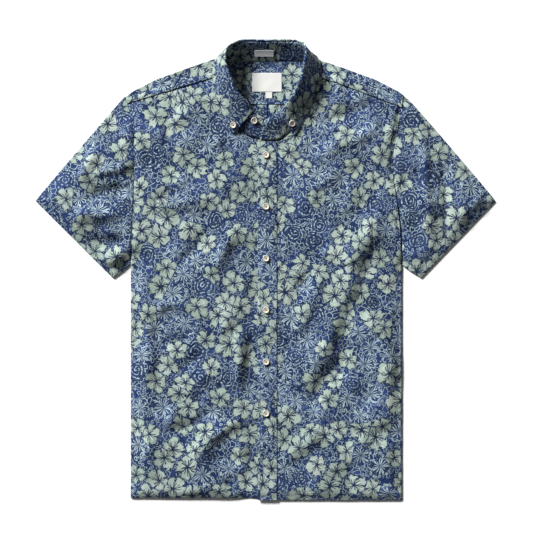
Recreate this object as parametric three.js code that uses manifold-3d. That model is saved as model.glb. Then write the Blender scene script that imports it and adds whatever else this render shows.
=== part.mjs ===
// A short-sleeved Hawaiian shirt with a button-down collar, laid flat on its back.
// Millimetres. +Z is up from the surface it lies on, +Y runs from the hem to the collar, and +X is
// the wearer's left, which is on the viewer's right. Left and right are the wearer's throughout.
// The left front laps over the right one. Every piece is a wall of cloth.

import * as THREE from "three";
import { mergeVertices } from "three/addons/utils/BufferGeometryUtils.js";
import Module from "manifold-3d";

// Walls and the gaps between them
const CLOTH = 1.2;
const BACK_CLOTH = 1.0;
const BAND_CLOTH = 1.4;
const SEAM_GAP = 0.3;
const LAYER_GAP = 0.7;

// Heights of the upper layer's face over the surface: at the middle, over the box pleat and the
// overlap of the fronts, and out from there
const MIDDLE_TOP = 7.0;
const OUTER_TOP = 5.2;
const MIDDLE_REACH = 60;
const OUTER_REACH = 130;
const LEAST_TOP = 3.2;
const SEAM_DIP = 0.8;
const SIDE_ROUND = 6;
const SIDE_TURNS = [35, 65, 90];

// Body
const HEM_Y = { left: -389.7, right: -386.5, back: -386.5 };
const SIDE_X = { left: 232, right: -229 };
const EDGE_X = { left: -12.8, right: 16.2 };
const NECK_CORNER_Y = { left: 220, right: 219.5 };
const PLACKET_WIDE = 32.3;
const BACK_SEAM_Y = 282.6;
const BACK_NECK_Y = 354.4;
const UNDERLAP_FROM = -54;
const UNDERLAP_TO = -22;

// Box pleat of the back: half its width at the yoke and at the hem, the radius of its folds, half
// the slit between them, and how far the back runs beyond the pleat before it is flat again
const PLEAT_AT_YOKE = 19;
const PLEAT_AT_HEM = 5;
const PLEAT_MIDDLE_X = 4;
const PLEAT_BEND = 0.65;
const PLEAT_SLIT = 0.8;
const PLEAT_RUN = 32;

// The yoke's ends lie outside the armholes, where it is cut. At the neck the cut leaves its lower
// layer, up to the height of YOKE_LOWER.
const YOKE_END_X = 243;
const YOKE_LOWER = 2.6;
const ABOVE_YOKE_Y = 400;
const CUT_FROM_Z = -5;
const CUT_TO_Z = 60;

// How finely the walls are divided
const BODY_ROWS = 17;
const ARM_STEPS = 14;
const NECK_STEPS = 7;
const ACROSS = 11;
const SLEEVE_STATIONS = 8;
const YOKE_STATIONS = 26;
const PER_COLLAR_ROW = 2;
const FALL_SHARES = [0, 0.06, 0.16, 0.3, 0.48, 0.68, 0.85, 1];
const STAND_STEPS = 4;

// Armhole seams, from the armpit to the shoulder, each point an x and a y
const ARMHOLE = {
  left: [[232, 9], [230, 45], [225, 100], [216, 165], [217, 200], [226, 250], [234, 298]],
  right: [[-229, 10], [-227, 60], [-223.5, 120], [-223, 155], [-223.5, 200], [-226, 250], [-238, 296]],
};

// Neckline of each front, from its free edge to the yoke
const NECKLINE = {
  left: [[-12.8, 220], [7.7, 218.6], [25, 220], [47.4, 240], [63.8, 270.6], [73.4, 299], [79.5, 332.4]],
  right: [[16.2, 219.5], [-5, 221.5], [-23, 225], [-46, 241], [-62.4, 268.6], [-72.4, 301], [-78.6, 330]],
};

// Where the yoke's front seam meets the armhole, as a share of the armhole
const YOKE_SHARE = { left: 0.925, right: 0.955 };

// The fold along the shoulder, from the neck out, for both sides
const SHOULDER = [[0, 361], [80, 361], [91, 358], [132, 344], [187, 324], [227, 303.4], [243, 290]];

// Sleeve edges: the fold from shoulder to cuff, and the underarm seam from armpit to cuff
const SLEEVE_FOLD = {
  left: [[234, 298], [243, 290], [271, 259.2], [387, 123], [390.5, 118]],
  right: [[-238, 296], [-244, 289.8], [-271, 259.2], [-387, 123], [-390.5, 118]],
};
const UNDERARM = {
  left: [[232, 9], [242.3, 0.8], [264.4, -12.8]],
  right: [[-229, 10], [-238.9, 0.8], [-259.4, -12.8]],
};

// The largest folds of the upper layer. Each runs along a line from x1, y1 to x2, y2 and fades over
// its width; high is above zero for a ridge and below it for a trough.
const FOLDS = [
  { name: "left chest ridge, upper", x1: 192, y1: 222, x2: 166, y2: 75, wide: 17, high: 2.4 },
  { name: "left chest ridge, middle", x1: 166, y1: 75, x2: 116, y2: -67, wide: 18, high: 2.6 },
  { name: "left chest ridge, lower", x1: 116, y1: -67, x2: 58, y2: -208, wide: 18, high: 2.2 },
  { name: "left waist trough, upper", x1: 158, y1: -10, x2: 128, y2: -96, wide: 15, high: -2.2 },
  { name: "left waist trough, lower", x1: 128, y1: -96, x2: 62, y2: -242, wide: 15, high: -2.4 },
  { name: "left inner trough", x1: 105, y1: 160, x2: 52, y2: -20, wide: 20, high: -1.8 },
  { name: "left shoulder ridge", x1: 70, y1: 205, x2: 200, y2: 268, wide: 15, high: 1.8 },
  { name: "left yoke trough", x1: 105, y1: 282, x2: 188, y2: 290, wide: 13, high: -1.5 },
  { name: "left hip ridge", x1: 150, y1: -170, x2: 200, y2: -330, wide: 20, high: 1.8 },
  { name: "left hem trough", x1: 100, y1: -300, x2: 150, y2: -360, wide: 18, high: -1.6 },
  { name: "right chest trough", x1: -168, y1: 18, x2: -117, y2: 52, wide: 15, high: -2.0 },
  { name: "right chest ridge", x1: -118, y1: 8, x2: -62, y2: 74, wide: 16, high: 1.9 },
  { name: "right waist trough", x1: -168, y1: -96, x2: -140, y2: -82, wide: 20, high: -1.8 },
  { name: "right waist ridge", x1: -92, y1: -170, x2: -58, y2: -105, wide: 17, high: 1.6 },
  { name: "right hem ridge", x1: -205, y1: -330, x2: -75, y2: -250, wide: 17, high: 1.8 },
  { name: "right hem trough", x1: -140, y1: -340, x2: -60, y2: -285, wide: 16, high: -1.5 },
  { name: "right upper trough", x1: -186, y1: 122, x2: -130, y2: 158, wide: 16, high: -1.5 },
  { name: "right sleeve trough, upper", x1: -272, y1: 154, x2: -240, y2: 172, wide: 11, high: -2.4 },
  { name: "right sleeve ridge, upper", x1: -296, y1: 112, x2: -254, y2: 118, wide: 15, high: 2.6 },
  { name: "right sleeve trough, lower", x1: -318, y1: 78, x2: -244, y2: 68, wide: 13, high: -2.2 },
  { name: "right sleeve ridge, lower", x1: -290, y1: 36, x2: -250, y2: 28, wide: 14, high: 1.8 },
  { name: "left sleeve trough", x1: 291, y1: 178, x2: 286, y2: 52, wide: 13, high: -2.2 },
  { name: "left sleeve ridge, outer", x1: 322, y1: 160, x2: 316, y2: 64, wide: 15, high: 2.4 },
  { name: "left sleeve ridge, inner", x1: 256, y1: 248, x2: 252, y2: 80, wide: 13, high: 1.9 },
];

// The collar, a row for each station from the right front round the back of the neck to the left
// front. seam is where the stand is sewn to the shirt, fold is where the fall turns over, and edge
// is the fall's outer edge. lie is how far the fall lies flat before its edge, and lift how much it
// arches there. The fall runs from FALL_FROM to FALL_TO.
const COLLAR = [
  { name: "right band end", lie: 12, lift: 5,
    seam: [4, 221.4, 4.4], fold: [-2, 258, 12.2], edge: [-36, 236, 9] },
  { name: "right buttonhole", lie: 12, lift: 5,
    seam: [-10, 224, 4.6], fold: [-12, 263, 13.6], edge: [-44, 233, 9] },
  { name: "right point", lie: 12, lift: 5,
    seam: [-23, 227, 5.4], fold: [-19.6, 268.5, 16], edge: [-53.4, 231.8, 9.2] },
  { name: "right fall", lie: 12, lift: 6,
    seam: [-44.4, 243, 6], fold: [-28.4, 280.4, 22], edge: [-66.5, 246, 8.8] },
  { name: "right front neck", lie: 12, lift: 6,
    seam: [-60, 270, 6.2], fold: [-43, 295.4, 29], edge: [-78, 272, 8.8] },
  { name: "right collarbone", lie: 10, lift: 5,
    seam: [-70.2, 302, 6.2], fold: [-56, 320, 35], edge: [-85.6, 301, 8.8] },
  { name: "right neck", lie: 8, lift: 4,
    seam: [-76, 332, 6], fold: [-64.6, 345, 38], edge: [-89.6, 330, 9] },
  { name: "right shoulder front", lie: 6, lift: 3,
    seam: [-76.4, 345, 5], fold: [-66.4, 358, 38], edge: [-87.4, 349, 9.4] },
  { name: "right shoulder back", lie: 6, lift: 0,
    seam: [-72, 355.6, 2.6], fold: [-64.4, 371, 36], edge: [-80.4, 365, 5] },
  { name: "right nape", lie: 12, lift: 0,
    seam: [-62, 355.2, 0.9], fold: [-54, 380, 30], edge: [-59, 367, 0.7] },
  { name: "right back neck", lie: 23, lift: 0,
    seam: [-40, 355.2, 0.9], fold: [-40, 384.8, 24.5], edge: [-41, 364, 0.7] },
  { name: "middle of the back", lie: 25, lift: 0,
    seam: [2, 355.2, 0.9], fold: [1, 385, 22], edge: [1, 363, 0.7] },
  { name: "left back neck", lie: 23, lift: 0,
    seam: [42, 355.2, 0.9], fold: [50, 384.8, 24.5], edge: [44, 364, 0.7] },
  { name: "left nape", lie: 12, lift: 0,
    seam: [65, 355.2, 0.9], fold: [63.4, 380, 30], edge: [66, 367, 0.7] },
  { name: "left shoulder back", lie: 6, lift: 0,
    seam: [74, 355.6, 2.6], fold: [67, 371, 36], edge: [85, 365.4, 5] },
  { name: "left shoulder front", lie: 6, lift: 3,
    seam: [77, 345, 5], fold: [65.6, 358, 38], edge: [93, 349, 9.4] },
  { name: "left neck", lie: 8, lift: 4,
    seam: [76.6, 332, 6], fold: [63.2, 345, 38], edge: [95, 332, 9] },
  { name: "left collarbone", lie: 10, lift: 5,
    seam: [71, 300, 6.2], fold: [58, 320, 35], edge: [89, 303, 8.8] },
  { name: "left front neck", lie: 12, lift: 6,
    seam: [61.6, 272, 6.2], fold: [48, 296.8, 30], edge: [76, 276, 8.8] },
  { name: "left fall", lie: 12, lift: 6,
    seam: [45.6, 241.6, 6.2], fold: [34.6, 277.6, 24], edge: [63.4, 252, 8.8] },
  { name: "left point", lie: 12, lift: 5,
    seam: [24.4, 223.4, 6.4], fold: [20.6, 266.6, 18], edge: [48.4, 229.6, 9.6] },
  { name: "left buttonhole", lie: 12, lift: 5,
    seam: [8, 221.2, 6.4], fold: [10, 260.4, 16.4], edge: [36, 234, 9.6] },
  { name: "left band end", lie: 12, lift: 5,
    seam: [-9.4, 221.6, 6.6], fold: [-1, 254.6, 14.6], edge: [26, 236, 9.6] },
];
const FALL_FROM = 2;
const FALL_TO = 20;
const FALL_GAP = 0.9;
const ROLL = 7;
const ROLL_RISE = 6;
const ROLL_OUT = 3;
const STAND_SAG = 1.2;

// Chest pocket, its five corners
const POCKET = [[77.4, 137], [180, 137], [180, 27], [128.8, 6], [77.4, 27]];

// Buttons
const BUTTON_R = 5.5;
const BUTTON_THICK = 2.4;
const BUTTON_RIM = 1.3;
const BUTTON_SIDES = 12;
const BUTTON_STANDOFF = 0.6;
const BUTTON_X = 0.9;
const FIRST_BUTTON_Y = 195.9;
const BUTTON_PITCH = 87.64;
const PLACKET_BUTTONS = 6;
const BAND_BUTTON = [-19, 254.6];
const RIGHT_POINT_BUTTON = [-54.2, 246.4];
const LEFT_POINT_BUTTON = [44.8, 248.6];

// Labels, all blank: middle x, middle y, width, height
const NECK_LABEL = { x: 2.6, y: 319.5, wide: 50.3, deep: 32 };
const SIZE_TAB = { x: 5.6, y: 297.9, wide: 11.2, deep: 10.4 };
const STAND_TAG = { x: -2.4, y: 368.4, wide: 32.3, deep: 9.8 };
const LABEL_THICK = 1.0;

const PRINTED = { color: 0x667788, roughness: 0.9 };
const PEARL = { color: 0xd9d2c0, roughness: 0.35 };
const LABEL_WHITE = { color: 0xe8e6e0, roughness: 0.85 };
const TAG_GREY = { color: 0x9fa3a6, roughness: 0.85 };

const wasm = await Module();
wasm.setup();

const lerp = THREE.MathUtils.lerp;
const smoothstep = THREE.MathUtils.smoothstep;

function curveThrough(points) {
  const places = points.map(([x, y, z = 0]) => new THREE.Vector3(x, y, z));
  return new THREE.CatmullRomCurve3(places, false, "centripetal");
}

const armhole = {
  left: curveThrough(ARMHOLE.left),
  right: curveThrough(ARMHOLE.right),
};

// The armhole's points are shared by the front, the back and the sleeve, so that the seams run true.
function armholeShare(side, step) {
  return step === ARM_STEPS ? 1 : (YOKE_SHARE[side] * step) / (ARM_STEPS - 1);
}

function armholePoint(side, step) {
  return armhole[side].getPointAt(armholeShare(side, step));
}

function distanceToLine(x, y, fold) {
  const along = new THREE.Vector2(fold.x2 - fold.x1, fold.y2 - fold.y1);
  const from = new THREE.Vector2(x - fold.x1, y - fold.y1);
  const share = THREE.MathUtils.clamp(from.dot(along) / along.lengthSq(), 0, 1);
  return from.sub(along.multiplyScalar(share)).length();
}

// Height of the upper layer's face at a place. The folds die out towards the buttoned edges.
function topAt(x, y) {
  const outward = Math.abs(x - PLEAT_MIDDLE_X);
  const clearOfPlacket = smoothstep(outward, 22, 55);
  let height = lerp(MIDDLE_TOP, OUTER_TOP, smoothstep(outward, MIDDLE_REACH, OUTER_REACH));
  for (const fold of FOLDS) {
    const away = distanceToLine(x, y, fold) / fold.wide;
    height += clearOfPlacket * fold.high * Math.exp(-away * away);
  }
  return Math.max(height, LEAST_TOP);
}

// Joins rows of points into a closed wall. Each row holds pairs, the wall's outer and inner point.
// A row that closes on itself makes a tube.
function wall(rows, { tube = false } = {}) {
  const across = rows[0].length;
  const places = [];
  for (const row of rows) {
    for (const [outer, inner] of row) {
      places.push(...outer.toArray(), ...inner.toArray());
    }
  }
  const outerAt = (row, k) => 2 * (row * across + (k % across));
  const innerAt = (row, k) => outerAt(row, k) + 1;
  const faces = [];
  const quad = (a, b, c, d) => faces.push(a, b, c, a, c, d);
  const spans = tube ? across : across - 1;
  for (let row = 0; row + 1 < rows.length; row += 1) {
    for (let k = 0; k < spans; k += 1) {
      quad(outerAt(row, k), outerAt(row, k + 1), outerAt(row + 1, k + 1), outerAt(row + 1, k));
      quad(innerAt(row, k), innerAt(row + 1, k), innerAt(row + 1, k + 1), innerAt(row, k + 1));
    }
  }
  const last = rows.length - 1;
  for (let k = 0; k < spans; k += 1) {
    quad(outerAt(0, k), innerAt(0, k), innerAt(0, k + 1), outerAt(0, k + 1));
    quad(outerAt(last, k), outerAt(last, k + 1), innerAt(last, k + 1), innerAt(last, k));
  }
  if (!tube) {
    for (let row = 0; row < last; row += 1) {
      quad(outerAt(row, 0), outerAt(row + 1, 0), innerAt(row + 1, 0), innerAt(row, 0));
      const end = across - 1;
      quad(outerAt(row, end), innerAt(row, end), innerAt(row + 1, end), outerAt(row + 1, end));
    }
  }
  const geometry = new THREE.BufferGeometry();
  geometry.setAttribute("position", new THREE.Float32BufferAttribute(places, 3));
  geometry.setIndex(faces);
  return facingOut(geometry);
}

function facingOut(geometry) {
  const place = geometry.getAttribute("position");
  const corner = [0, 1, 2].map(() => new THREE.Vector3());
  const index = geometry.getIndex().array;
  let volume = 0;
  for (let k = 0; k < index.length; k += 3) {
    corner.forEach((point, n) => point.fromBufferAttribute(place, index[k + n]));
    volume += corner[0].dot(corner[1].cross(corner[2]));
  }
  if (volume < 0) {
    geometry.setIndex([...index].reverse());
  }
  return geometry;
}

// Gives a grid of points a thickness, half to each side along its normals. The outer side is the
// one that the normals point to.
function thicken(grid, thickness) {
  return grid.map((row, r) =>
    row.map((point, k) => {
      const before = grid[Math.max(r - 1, 0)][k];
      const after = grid[Math.min(r + 1, grid.length - 1)][k];
      const along = after.clone().sub(before);
      const across = row[Math.min(k + 1, row.length - 1)].clone().sub(row[Math.max(k - 1, 0)]);
      const normal = across.cross(along).normalize().multiplyScalar(thickness / 2);
      return [point.clone().add(normal), point.clone().sub(normal)];
    }),
  );
}

// A layer that lies on a panel: the panel's own outer points, moved out.
function layerOn(rows, gap, thickness) {
  return rows.map((row) =>
    row.map(([outer, inner]) => {
      const out = outer.clone().sub(inner).normalize();
      const under = outer.clone().addScaledVector(out, gap);
      return [outer.clone().addScaledVector(out, gap + thickness), under];
    }),
  );
}

function solidOf(geometry) {
  const bare = geometry.clone();
  bare.deleteAttribute("normal");
  bare.deleteAttribute("uv");
  const merged = mergeVertices(bare, 1e-4);
  const mesh = new wasm.Mesh({
    numProp: 3,
    vertProperties: new Float32Array(merged.getAttribute("position").array),
    triVerts: new Uint32Array(merged.getIndex().array),
  });
  return new wasm.Manifold(mesh);
}

function geometryOf(solid) {
  const mesh = solid.getMesh();
  const geometry = new THREE.BufferGeometry();
  geometry.setAttribute("position", new THREE.Float32BufferAttribute(mesh.vertProperties, 3));
  geometry.setIndex([...mesh.triVerts]);
  return geometry;
}

// A block over an outline, from one height to another, to cut with.
function block(outline, from = CUT_FROM_Z, to = CUT_TO_Z) {
  const shape = new THREE.Shape(outline.map(([x, y]) => new THREE.Vector2(x, y)));
  const geometry = new THREE.ExtrudeGeometry(shape, { depth: to - from, bevelEnabled: false });
  return solidOf(geometry.translate(0, 0, from));
}

function piece(name, geometry, finish) {
  const mesh = new THREE.Mesh(geometry, new THREE.MeshStandardMaterial(finish));
  mesh.name = name;
  return mesh;
}

// One row of a front: from its free edge or neckline out to the side fold or the armhole. fallen is
// 1 where the wall turns down to the back at the side, and 0 where it meets the sleeve.
function frontRow(side, inner, outer, fallen) {
  const dir = outer.clone().sub(inner);
  const length = dir.length();
  dir.normalize();
  const heightAt = (place) => {
    const under = side === "right" ? smoothstep(place.x, UNDERLAP_FROM, UNDERLAP_TO) : 0;
    return topAt(place.x, place.y) - under * (CLOTH + LAYER_GAP);
  };
  const row = [];
  const flat = length - SIDE_ROUND;
  const firstSteps = [0, PLACKET_WIDE / 2, PLACKET_WIDE].filter((reach) => reach < flat * 0.3);
  const left = ACROSS - firstSteps.length;
  const reaches = [...firstSteps];
  const start = firstSteps.at(-1);
  for (let k = 1; k <= left; k += 1) {
    reaches.push(lerp(start, flat, k / left));
  }
  for (const reach of reaches) {
    const place = inner.clone().addScaledVector(dir, reach);
    const z = heightAt(place);
    row.push([place.clone().setZ(z), place.clone().setZ(z - CLOTH)]);
  }
  const top = row.at(-1)[0].z;
  const foot = BACK_CLOTH + SEAM_GAP;
  const footOuter = lerp(top - SEAM_DIP, foot, fallen);
  const footInner = lerp(top - SEAM_DIP - CLOTH, foot, fallen);
  const inset = CLOTH * fallen;
  for (const degrees of SIDE_TURNS) {
    const angle = THREE.MathUtils.degToRad(degrees);
    const back = 1 - Math.sin(angle);
    const outerPlace = outer.clone().addScaledVector(dir, -SIDE_ROUND * back);
    const innerPlace = outer.clone().addScaledVector(dir, -inset - (SIDE_ROUND - inset) * back);
    outerPlace.z = lerp(footOuter, top, Math.cos(angle));
    innerPlace.z = lerp(footInner, top - CLOTH, Math.cos(angle));
    row.push([outerPlace, innerPlace]);
  }
  return row;
}

function frontRows(side) {
  const edge = (y) => new THREE.Vector3(EDGE_X[side], y, 0);
  const armpit = armholePoint(side, 0);
  const neckline = curveThrough(NECKLINE[side]);
  const rows = [];
  for (let step = 0; step <= BODY_ROWS; step += 1) {
    const y = lerp(HEM_Y[side], armpit.y, step / BODY_ROWS);
    rows.push(frontRow(side, edge(y), new THREE.Vector3(SIDE_X[side], y, 0), 1));
  }
  const cornerStep = ARM_STEPS - 1 - NECK_STEPS;
  for (let step = 1; step < ARM_STEPS; step += 1) {
    const outer = armholePoint(side, step);
    const onNeck = (step - cornerStep) / NECK_STEPS;
    const inner =
      onNeck > 0
        ? neckline.getPointAt(onNeck)
        : edge(lerp(armpit.y, NECK_CORNER_Y[side], step / cornerStep));
    rows.push(frontRow(side, inner, outer, step === 1 ? 0.4 : 0));
  }
  return rows;
}

// The back's section: flat on the surface, with a box pleat that lies three deep at the middle.
function backRow(from, to, share) {
  const half = lerp(PLEAT_AT_HEM, PLEAT_AT_YOKE, share);
  const bend = PLEAT_BEND;
  const slit = PLEAT_SLIT;
  const low = BACK_CLOTH / 2;
  const middle = low + 2 * bend;
  const high = middle + 2 * bend;
  const diagonal = bend * Math.SQRT1_2;
  const halfPath = [
    [half * 0.5, low],
    [half - bend, low],
    [half - bend + diagonal, low + bend - diagonal],
    [half, low + bend],
    [half - bend + diagonal, middle - bend + diagonal],
    [half - bend, middle],
    [slit + bend, middle],
    [slit + bend - diagonal, middle + bend - diagonal],
    [slit, middle + bend],
    [slit + bend - diagonal, high - bend + diagonal],
    [slit + bend, high],
    [half + PLEAT_RUN * 0.06, high],
    [half + PLEAT_RUN * 0.3, lerp(low, high, 0.6)],
    [half + PLEAT_RUN * 0.7, lerp(low, high, 0.12)],
    [half + PLEAT_RUN, low],
  ];
  const middleX = (from.x + to.x) / 2;
  const left = halfPath.map(([x, z]) => [PLEAT_MIDDLE_X + x, z]);
  const right = halfPath.map(([x, z]) => [PLEAT_MIDDLE_X - x, z]).reverse();
  const path = [
    [from.x, low],
    [(from.x + middleX) / 2, low],
    ...right,
    ...left,
    [(to.x + middleX) / 2, low],
    [to.x, low],
  ];
  return path.map(([x, z], k) => {
    const before = path[Math.max(k - 1, 0)];
    const after = path[Math.min(k + 1, path.length - 1)];
    const tangent = new THREE.Vector2(after[0] - before[0], after[1] - before[1]).normalize();
    const y = lerp(from.y, to.y, (x - from.x) / (to.x - from.x));
    const off = new THREE.Vector3(tangent.y, 0, -tangent.x).multiplyScalar(BACK_CLOTH / 2);
    const place = new THREE.Vector3(x, y, z);
    return [place.clone().add(off), place.clone().sub(off)];
  });
}

function back() {
  const rows = [];
  const top = BACK_SEAM_Y - SEAM_GAP / 2;
  const share = (y) => (y - HEM_Y.back) / (top - HEM_Y.back);
  for (const part of [0, 0.34, 0.67, 1]) {
    const y = lerp(HEM_Y.back, ARMHOLE.left[0][1], part);
    const from = new THREE.Vector3(SIDE_X.right, y, 0);
    const to = new THREE.Vector3(SIDE_X.left, y, 0);
    rows.push(backRow(from, to, share(y)));
  }
  for (let step = 1; step < ARM_STEPS - 1; step += 1) {
    const from = armholePoint("right", step);
    const to = armholePoint("left", step);
    rows.push(backRow(from, to, share((from.y + to.y) / 2)));
  }
  const atHeight = (side) => {
    const found = armhole[side].getSpacedPoints(400).find((point) => point.y >= top);
    return new THREE.Vector3(found.x, top, 0);
  };
  rows.push(backRow(atHeight("right"), atHeight("left"), 1));
  return wall(rows);
}

function shoulderY(x) {
  const from = Math.abs(x);
  const next = Math.max(SHOULDER.findIndex(([reach]) => reach >= from), 1);
  const [x1, y1] = SHOULDER[next - 1];
  const [x2, y2] = SHOULDER[next];
  return lerp(y1, y2, (from - x1) / (x2 - x1));
}

function yokeFrontY(x) {
  const side = x > 0 ? "left" : "right";
  const [neckX, neckY] = NECKLINE[side].at(-1);
  const arm = armholePoint(side, ARM_STEPS - 1);
  return lerp(neckY, arm.y, (x - neckX) / (arm.x - neckX)) + SEAM_GAP;
}

// The yoke is bent over the shoulder fold, then cut at the neck and along the armholes.
function yoke() {
  const rows = [];
  for (let station = 0; station < YOKE_STATIONS; station += 1) {
    const x = lerp(-YOKE_END_X, YOKE_END_X, station / (YOKE_STATIONS - 1));
    const fold = shoulderY(x);
    const seam = BACK_SEAM_Y + SEAM_GAP / 2;
    const front = yokeFrontY(x);
    const round = topAt(x, fold - 6) / 2;
    const place = (y, z) => new THREE.Vector3(x, y, z);
    const row = [];
    for (const share of [0, 0.5, 1]) {
      const y = lerp(seam, fold - round, share);
      row.push([place(y, 0), place(y, CLOTH)]);
    }
    for (const degrees of [-50, 0, 50]) {
      const angle = THREE.MathUtils.degToRad(degrees);
      const outer = place(fold - round + round * Math.cos(angle), round + round * Math.sin(angle));
      const bend = round - CLOTH;
      const inner = place(fold - round + bend * Math.cos(angle), round + bend * Math.sin(angle));
      row.push([outer, inner]);
    }
    for (const share of [0, 0.5, 1]) {
      const y = lerp(fold - round, front, share);
      const z = share === 0 ? round * 2 : topAt(x, y) - (share === 1 ? SEAM_DIP * 0.4 : 0);
      row.push([place(y, z), place(y, z - CLOTH)]);
    }
    rows.push(row);
  }
  const neckRight = NECKLINE.right.at(-1)[0];
  const neckLeft = NECKLINE.left.at(-1)[0];
  const neckFrom = (y) => {
    const corners = [[neckRight, y], [neckLeft, y]];
    return [...corners, [neckLeft, ABOVE_YOKE_Y], [neckRight, ABOVE_YOKE_Y]];
  };
  const inside = block(neckFrom(BACK_SEAM_Y - 10), YOKE_LOWER);
  const behind = block(neckFrom(BACK_NECK_Y));
  let solid = solidOf(wall(rows)).subtract(inside).subtract(behind);
  for (const side of ["left", "right"]) {
    const sign = side === "left" ? 1 : -1;
    const upper = armholePoint(side, ARM_STEPS);
    const lower = armholePoint(side, ARM_STEPS - 2);
    const middle = armholePoint(side, ARM_STEPS - 1);
    const farX = sign * (YOKE_END_X + 20);
    const outside = [[lower.x, lower.y], [middle.x, middle.y], [upper.x, upper.y]];
    outside.push([upper.x, ABOVE_YOKE_Y], [farX, ABOVE_YOKE_Y], [farX, lower.y]);
    solid = solid.subtract(block(sign > 0 ? outside.reverse() : outside));
  }
  return geometryOf(solid);
}

// A sleeve is a flattened tube from the armhole to the cuff, open at both. Its lower layer is flat,
// and its long edges are round.
function sleeve(side) {
  const sign = side === "left" ? 1 : -1;
  const fold = curveThrough(SLEEVE_FOLD[side]);
  const underarm = curveThrough(UNDERARM[side]);
  const cuffInner = underarm.getPointAt(1);
  const cuffOuter = fold.getPointAt(1);
  const place = (share, t) => {
    const onArmhole = armhole[side].getPointAt(THREE.MathUtils.clamp(share, 0, 1));
    const onCuff = cuffInner.clone().lerp(cuffOuter, share);
    const ends = onArmhole.lerp(onCuff, t);
    const sides = underarm.getPointAt(t).lerp(fold.getPointAt(t), share);
    const armpit = armhole[side].getPointAt(0);
    const shoulder = armhole[side].getPointAt(1);
    const corners = armpit.lerp(shoulder, share).lerp(onCuff, t);
    const point = ends.add(sides).sub(corners);
    point.x += sign * SEAM_GAP * (1 - t);
    return point;
  };
  const rows = [];
  for (let station = 0; station < SLEEVE_STATIONS; station += 1) {
    const t = (station / (SLEEVE_STATIONS - 1)) ** 0.85;
    const width = place(0, t).distanceTo(place(1, t));
    const upper = [];
    const lower = [];
    for (let step = 1; step < ARM_STEPS; step += 1) {
      const point = place(armholeShare(side, step), t);
      const edge = Math.min(step, ARM_STEPS - step) === 1 ? 0.92 : 1;
      const top = topAt(point.x, point.y) * edge - (t === 0 ? SEAM_DIP : 0);
      upper.push([point.clone().setZ(top), point.clone().setZ(top - CLOTH)]);
      lower.push([point.clone().setZ(0), point.clone().setZ(CLOTH)]);
    }
    const rounded = (end, height) => {
      const round = height / 2;
      const bend = round - CLOTH;
      return [-55, 0, 55].map((degrees) => {
        const angle = THREE.MathUtils.degToRad(degrees);
        const outerIn = round * (1 - Math.cos(angle));
        const innerIn = CLOTH + bend * (1 - Math.cos(angle));
        const shareAt = (inward) => (end === 1 ? 1 - inward / width : inward / width);
        const outer = place(shareAt(outerIn), t).setZ(round + round * Math.sin(angle));
        const inner = place(shareAt(innerIn), t).setZ(round + bend * Math.sin(angle));
        return [outer, inner];
      });
    };
    const atFold = rounded(1, upper.at(-1)[0].z * 0.94);
    const atUnderarm = rounded(0, upper[0][0].z * 0.94);
    rows.push([...lower, ...atFold, ...upper.reverse(), ...atUnderarm.reverse()]);
  }
  return wall(rows, { tube: true });
}

const seamCurve = curveThrough(COLLAR.map((row) => row.seam));
const foldCurve = curveThrough(COLLAR.map((row) => row.fold));
const edgeCurve = curveThrough(COLLAR.map((row) => row.edge));

// The collar's stations: their share of the way round, and the table's columns there.
function collarStations(from, to) {
  const stations = [];
  for (let step = from * PER_COLLAR_ROW; step <= to * PER_COLLAR_ROW; step += 1) {
    const place = step / PER_COLLAR_ROW;
    const before = COLLAR[Math.floor(place)];
    const after = COLLAR[Math.ceil(place)];
    const t = place / (COLLAR.length - 1);
    stations.push({
      seam: seamCurve.getPoint(t),
      fold: foldCurve.getPoint(t),
      edge: edgeCurve.getPoint(t),
      lie: (before.lie + after.lie) / 2,
      lift: (before.lift + after.lift) / 2,
    });
  }
  return stations;
}

function standGrid() {
  return collarStations(0, COLLAR.length - 1).map(({ seam, fold }) => {
    const row = [];
    for (let step = 0; step <= STAND_STEPS; step += 1) {
      const share = step / STAND_STEPS;
      const point = seam.clone().lerp(fold, share);
      point.z -= STAND_SAG * Math.sin(Math.PI * share) ** 2;
      row.push(point);
    }
    return row;
  });
}

// The fall starts where the stand ends, rolls over and comes down to its edge.
function fallGrid(stand) {
  return collarStations(FALL_FROM, FALL_TO).map(({ seam, fold, edge, lie, lift }, station) => {
    const rise = fold.clone().sub(seam).normalize();
    const start = fold.clone().addScaledVector(rise, FALL_GAP);
    const [outside, inside] = stand[station + FALL_FROM * PER_COLLAR_ROW].at(-1);
    const outward = outside.clone().sub(inside).normalize();
    const inward = fold.clone().sub(edge).setZ(0);
    const resting = edge.clone().addScaledVector(inward.normalize(), lie);
    resting.z += lift;
    const turned = start.clone().addScaledVector(rise, ROLL);
    turned.z += ROLL_RISE;
    turned.addScaledVector(outward, ROLL_OUT);
    const path = new THREE.CubicBezierCurve3(start, turned, resting, edge);
    return FALL_SHARES.map((share) => {
      const point = path.getPoint(share);
      point.z = Math.max(point.z, CLOTH / 2);
      return point;
    });
  });
}

// A button stands on a place of its cloth, square to it.
function button(name, place, normal) {
  const profile = [
    [0, 0],
    [BUTTON_R - 0.8, 0],
    [BUTTON_R, 0.8],
    [BUTTON_R, BUTTON_THICK - 0.6],
    [BUTTON_R - BUTTON_RIM / 2, BUTTON_THICK],
    [BUTTON_R - BUTTON_RIM * 1.6, BUTTON_THICK - 0.8],
    [0, BUTTON_THICK - 0.8],
  ].map(([radius, height]) => new THREE.Vector2(radius, height));
  const geometry = new THREE.LatheGeometry(profile, BUTTON_SIDES);
  geometry.rotateX(Math.PI / 2);
  const mesh = piece(name, geometry, PEARL);
  mesh.quaternion.setFromUnitVectors(new THREE.Vector3(0, 0, 1), normal);
  mesh.position.copy(place);
  return mesh;
}

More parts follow.
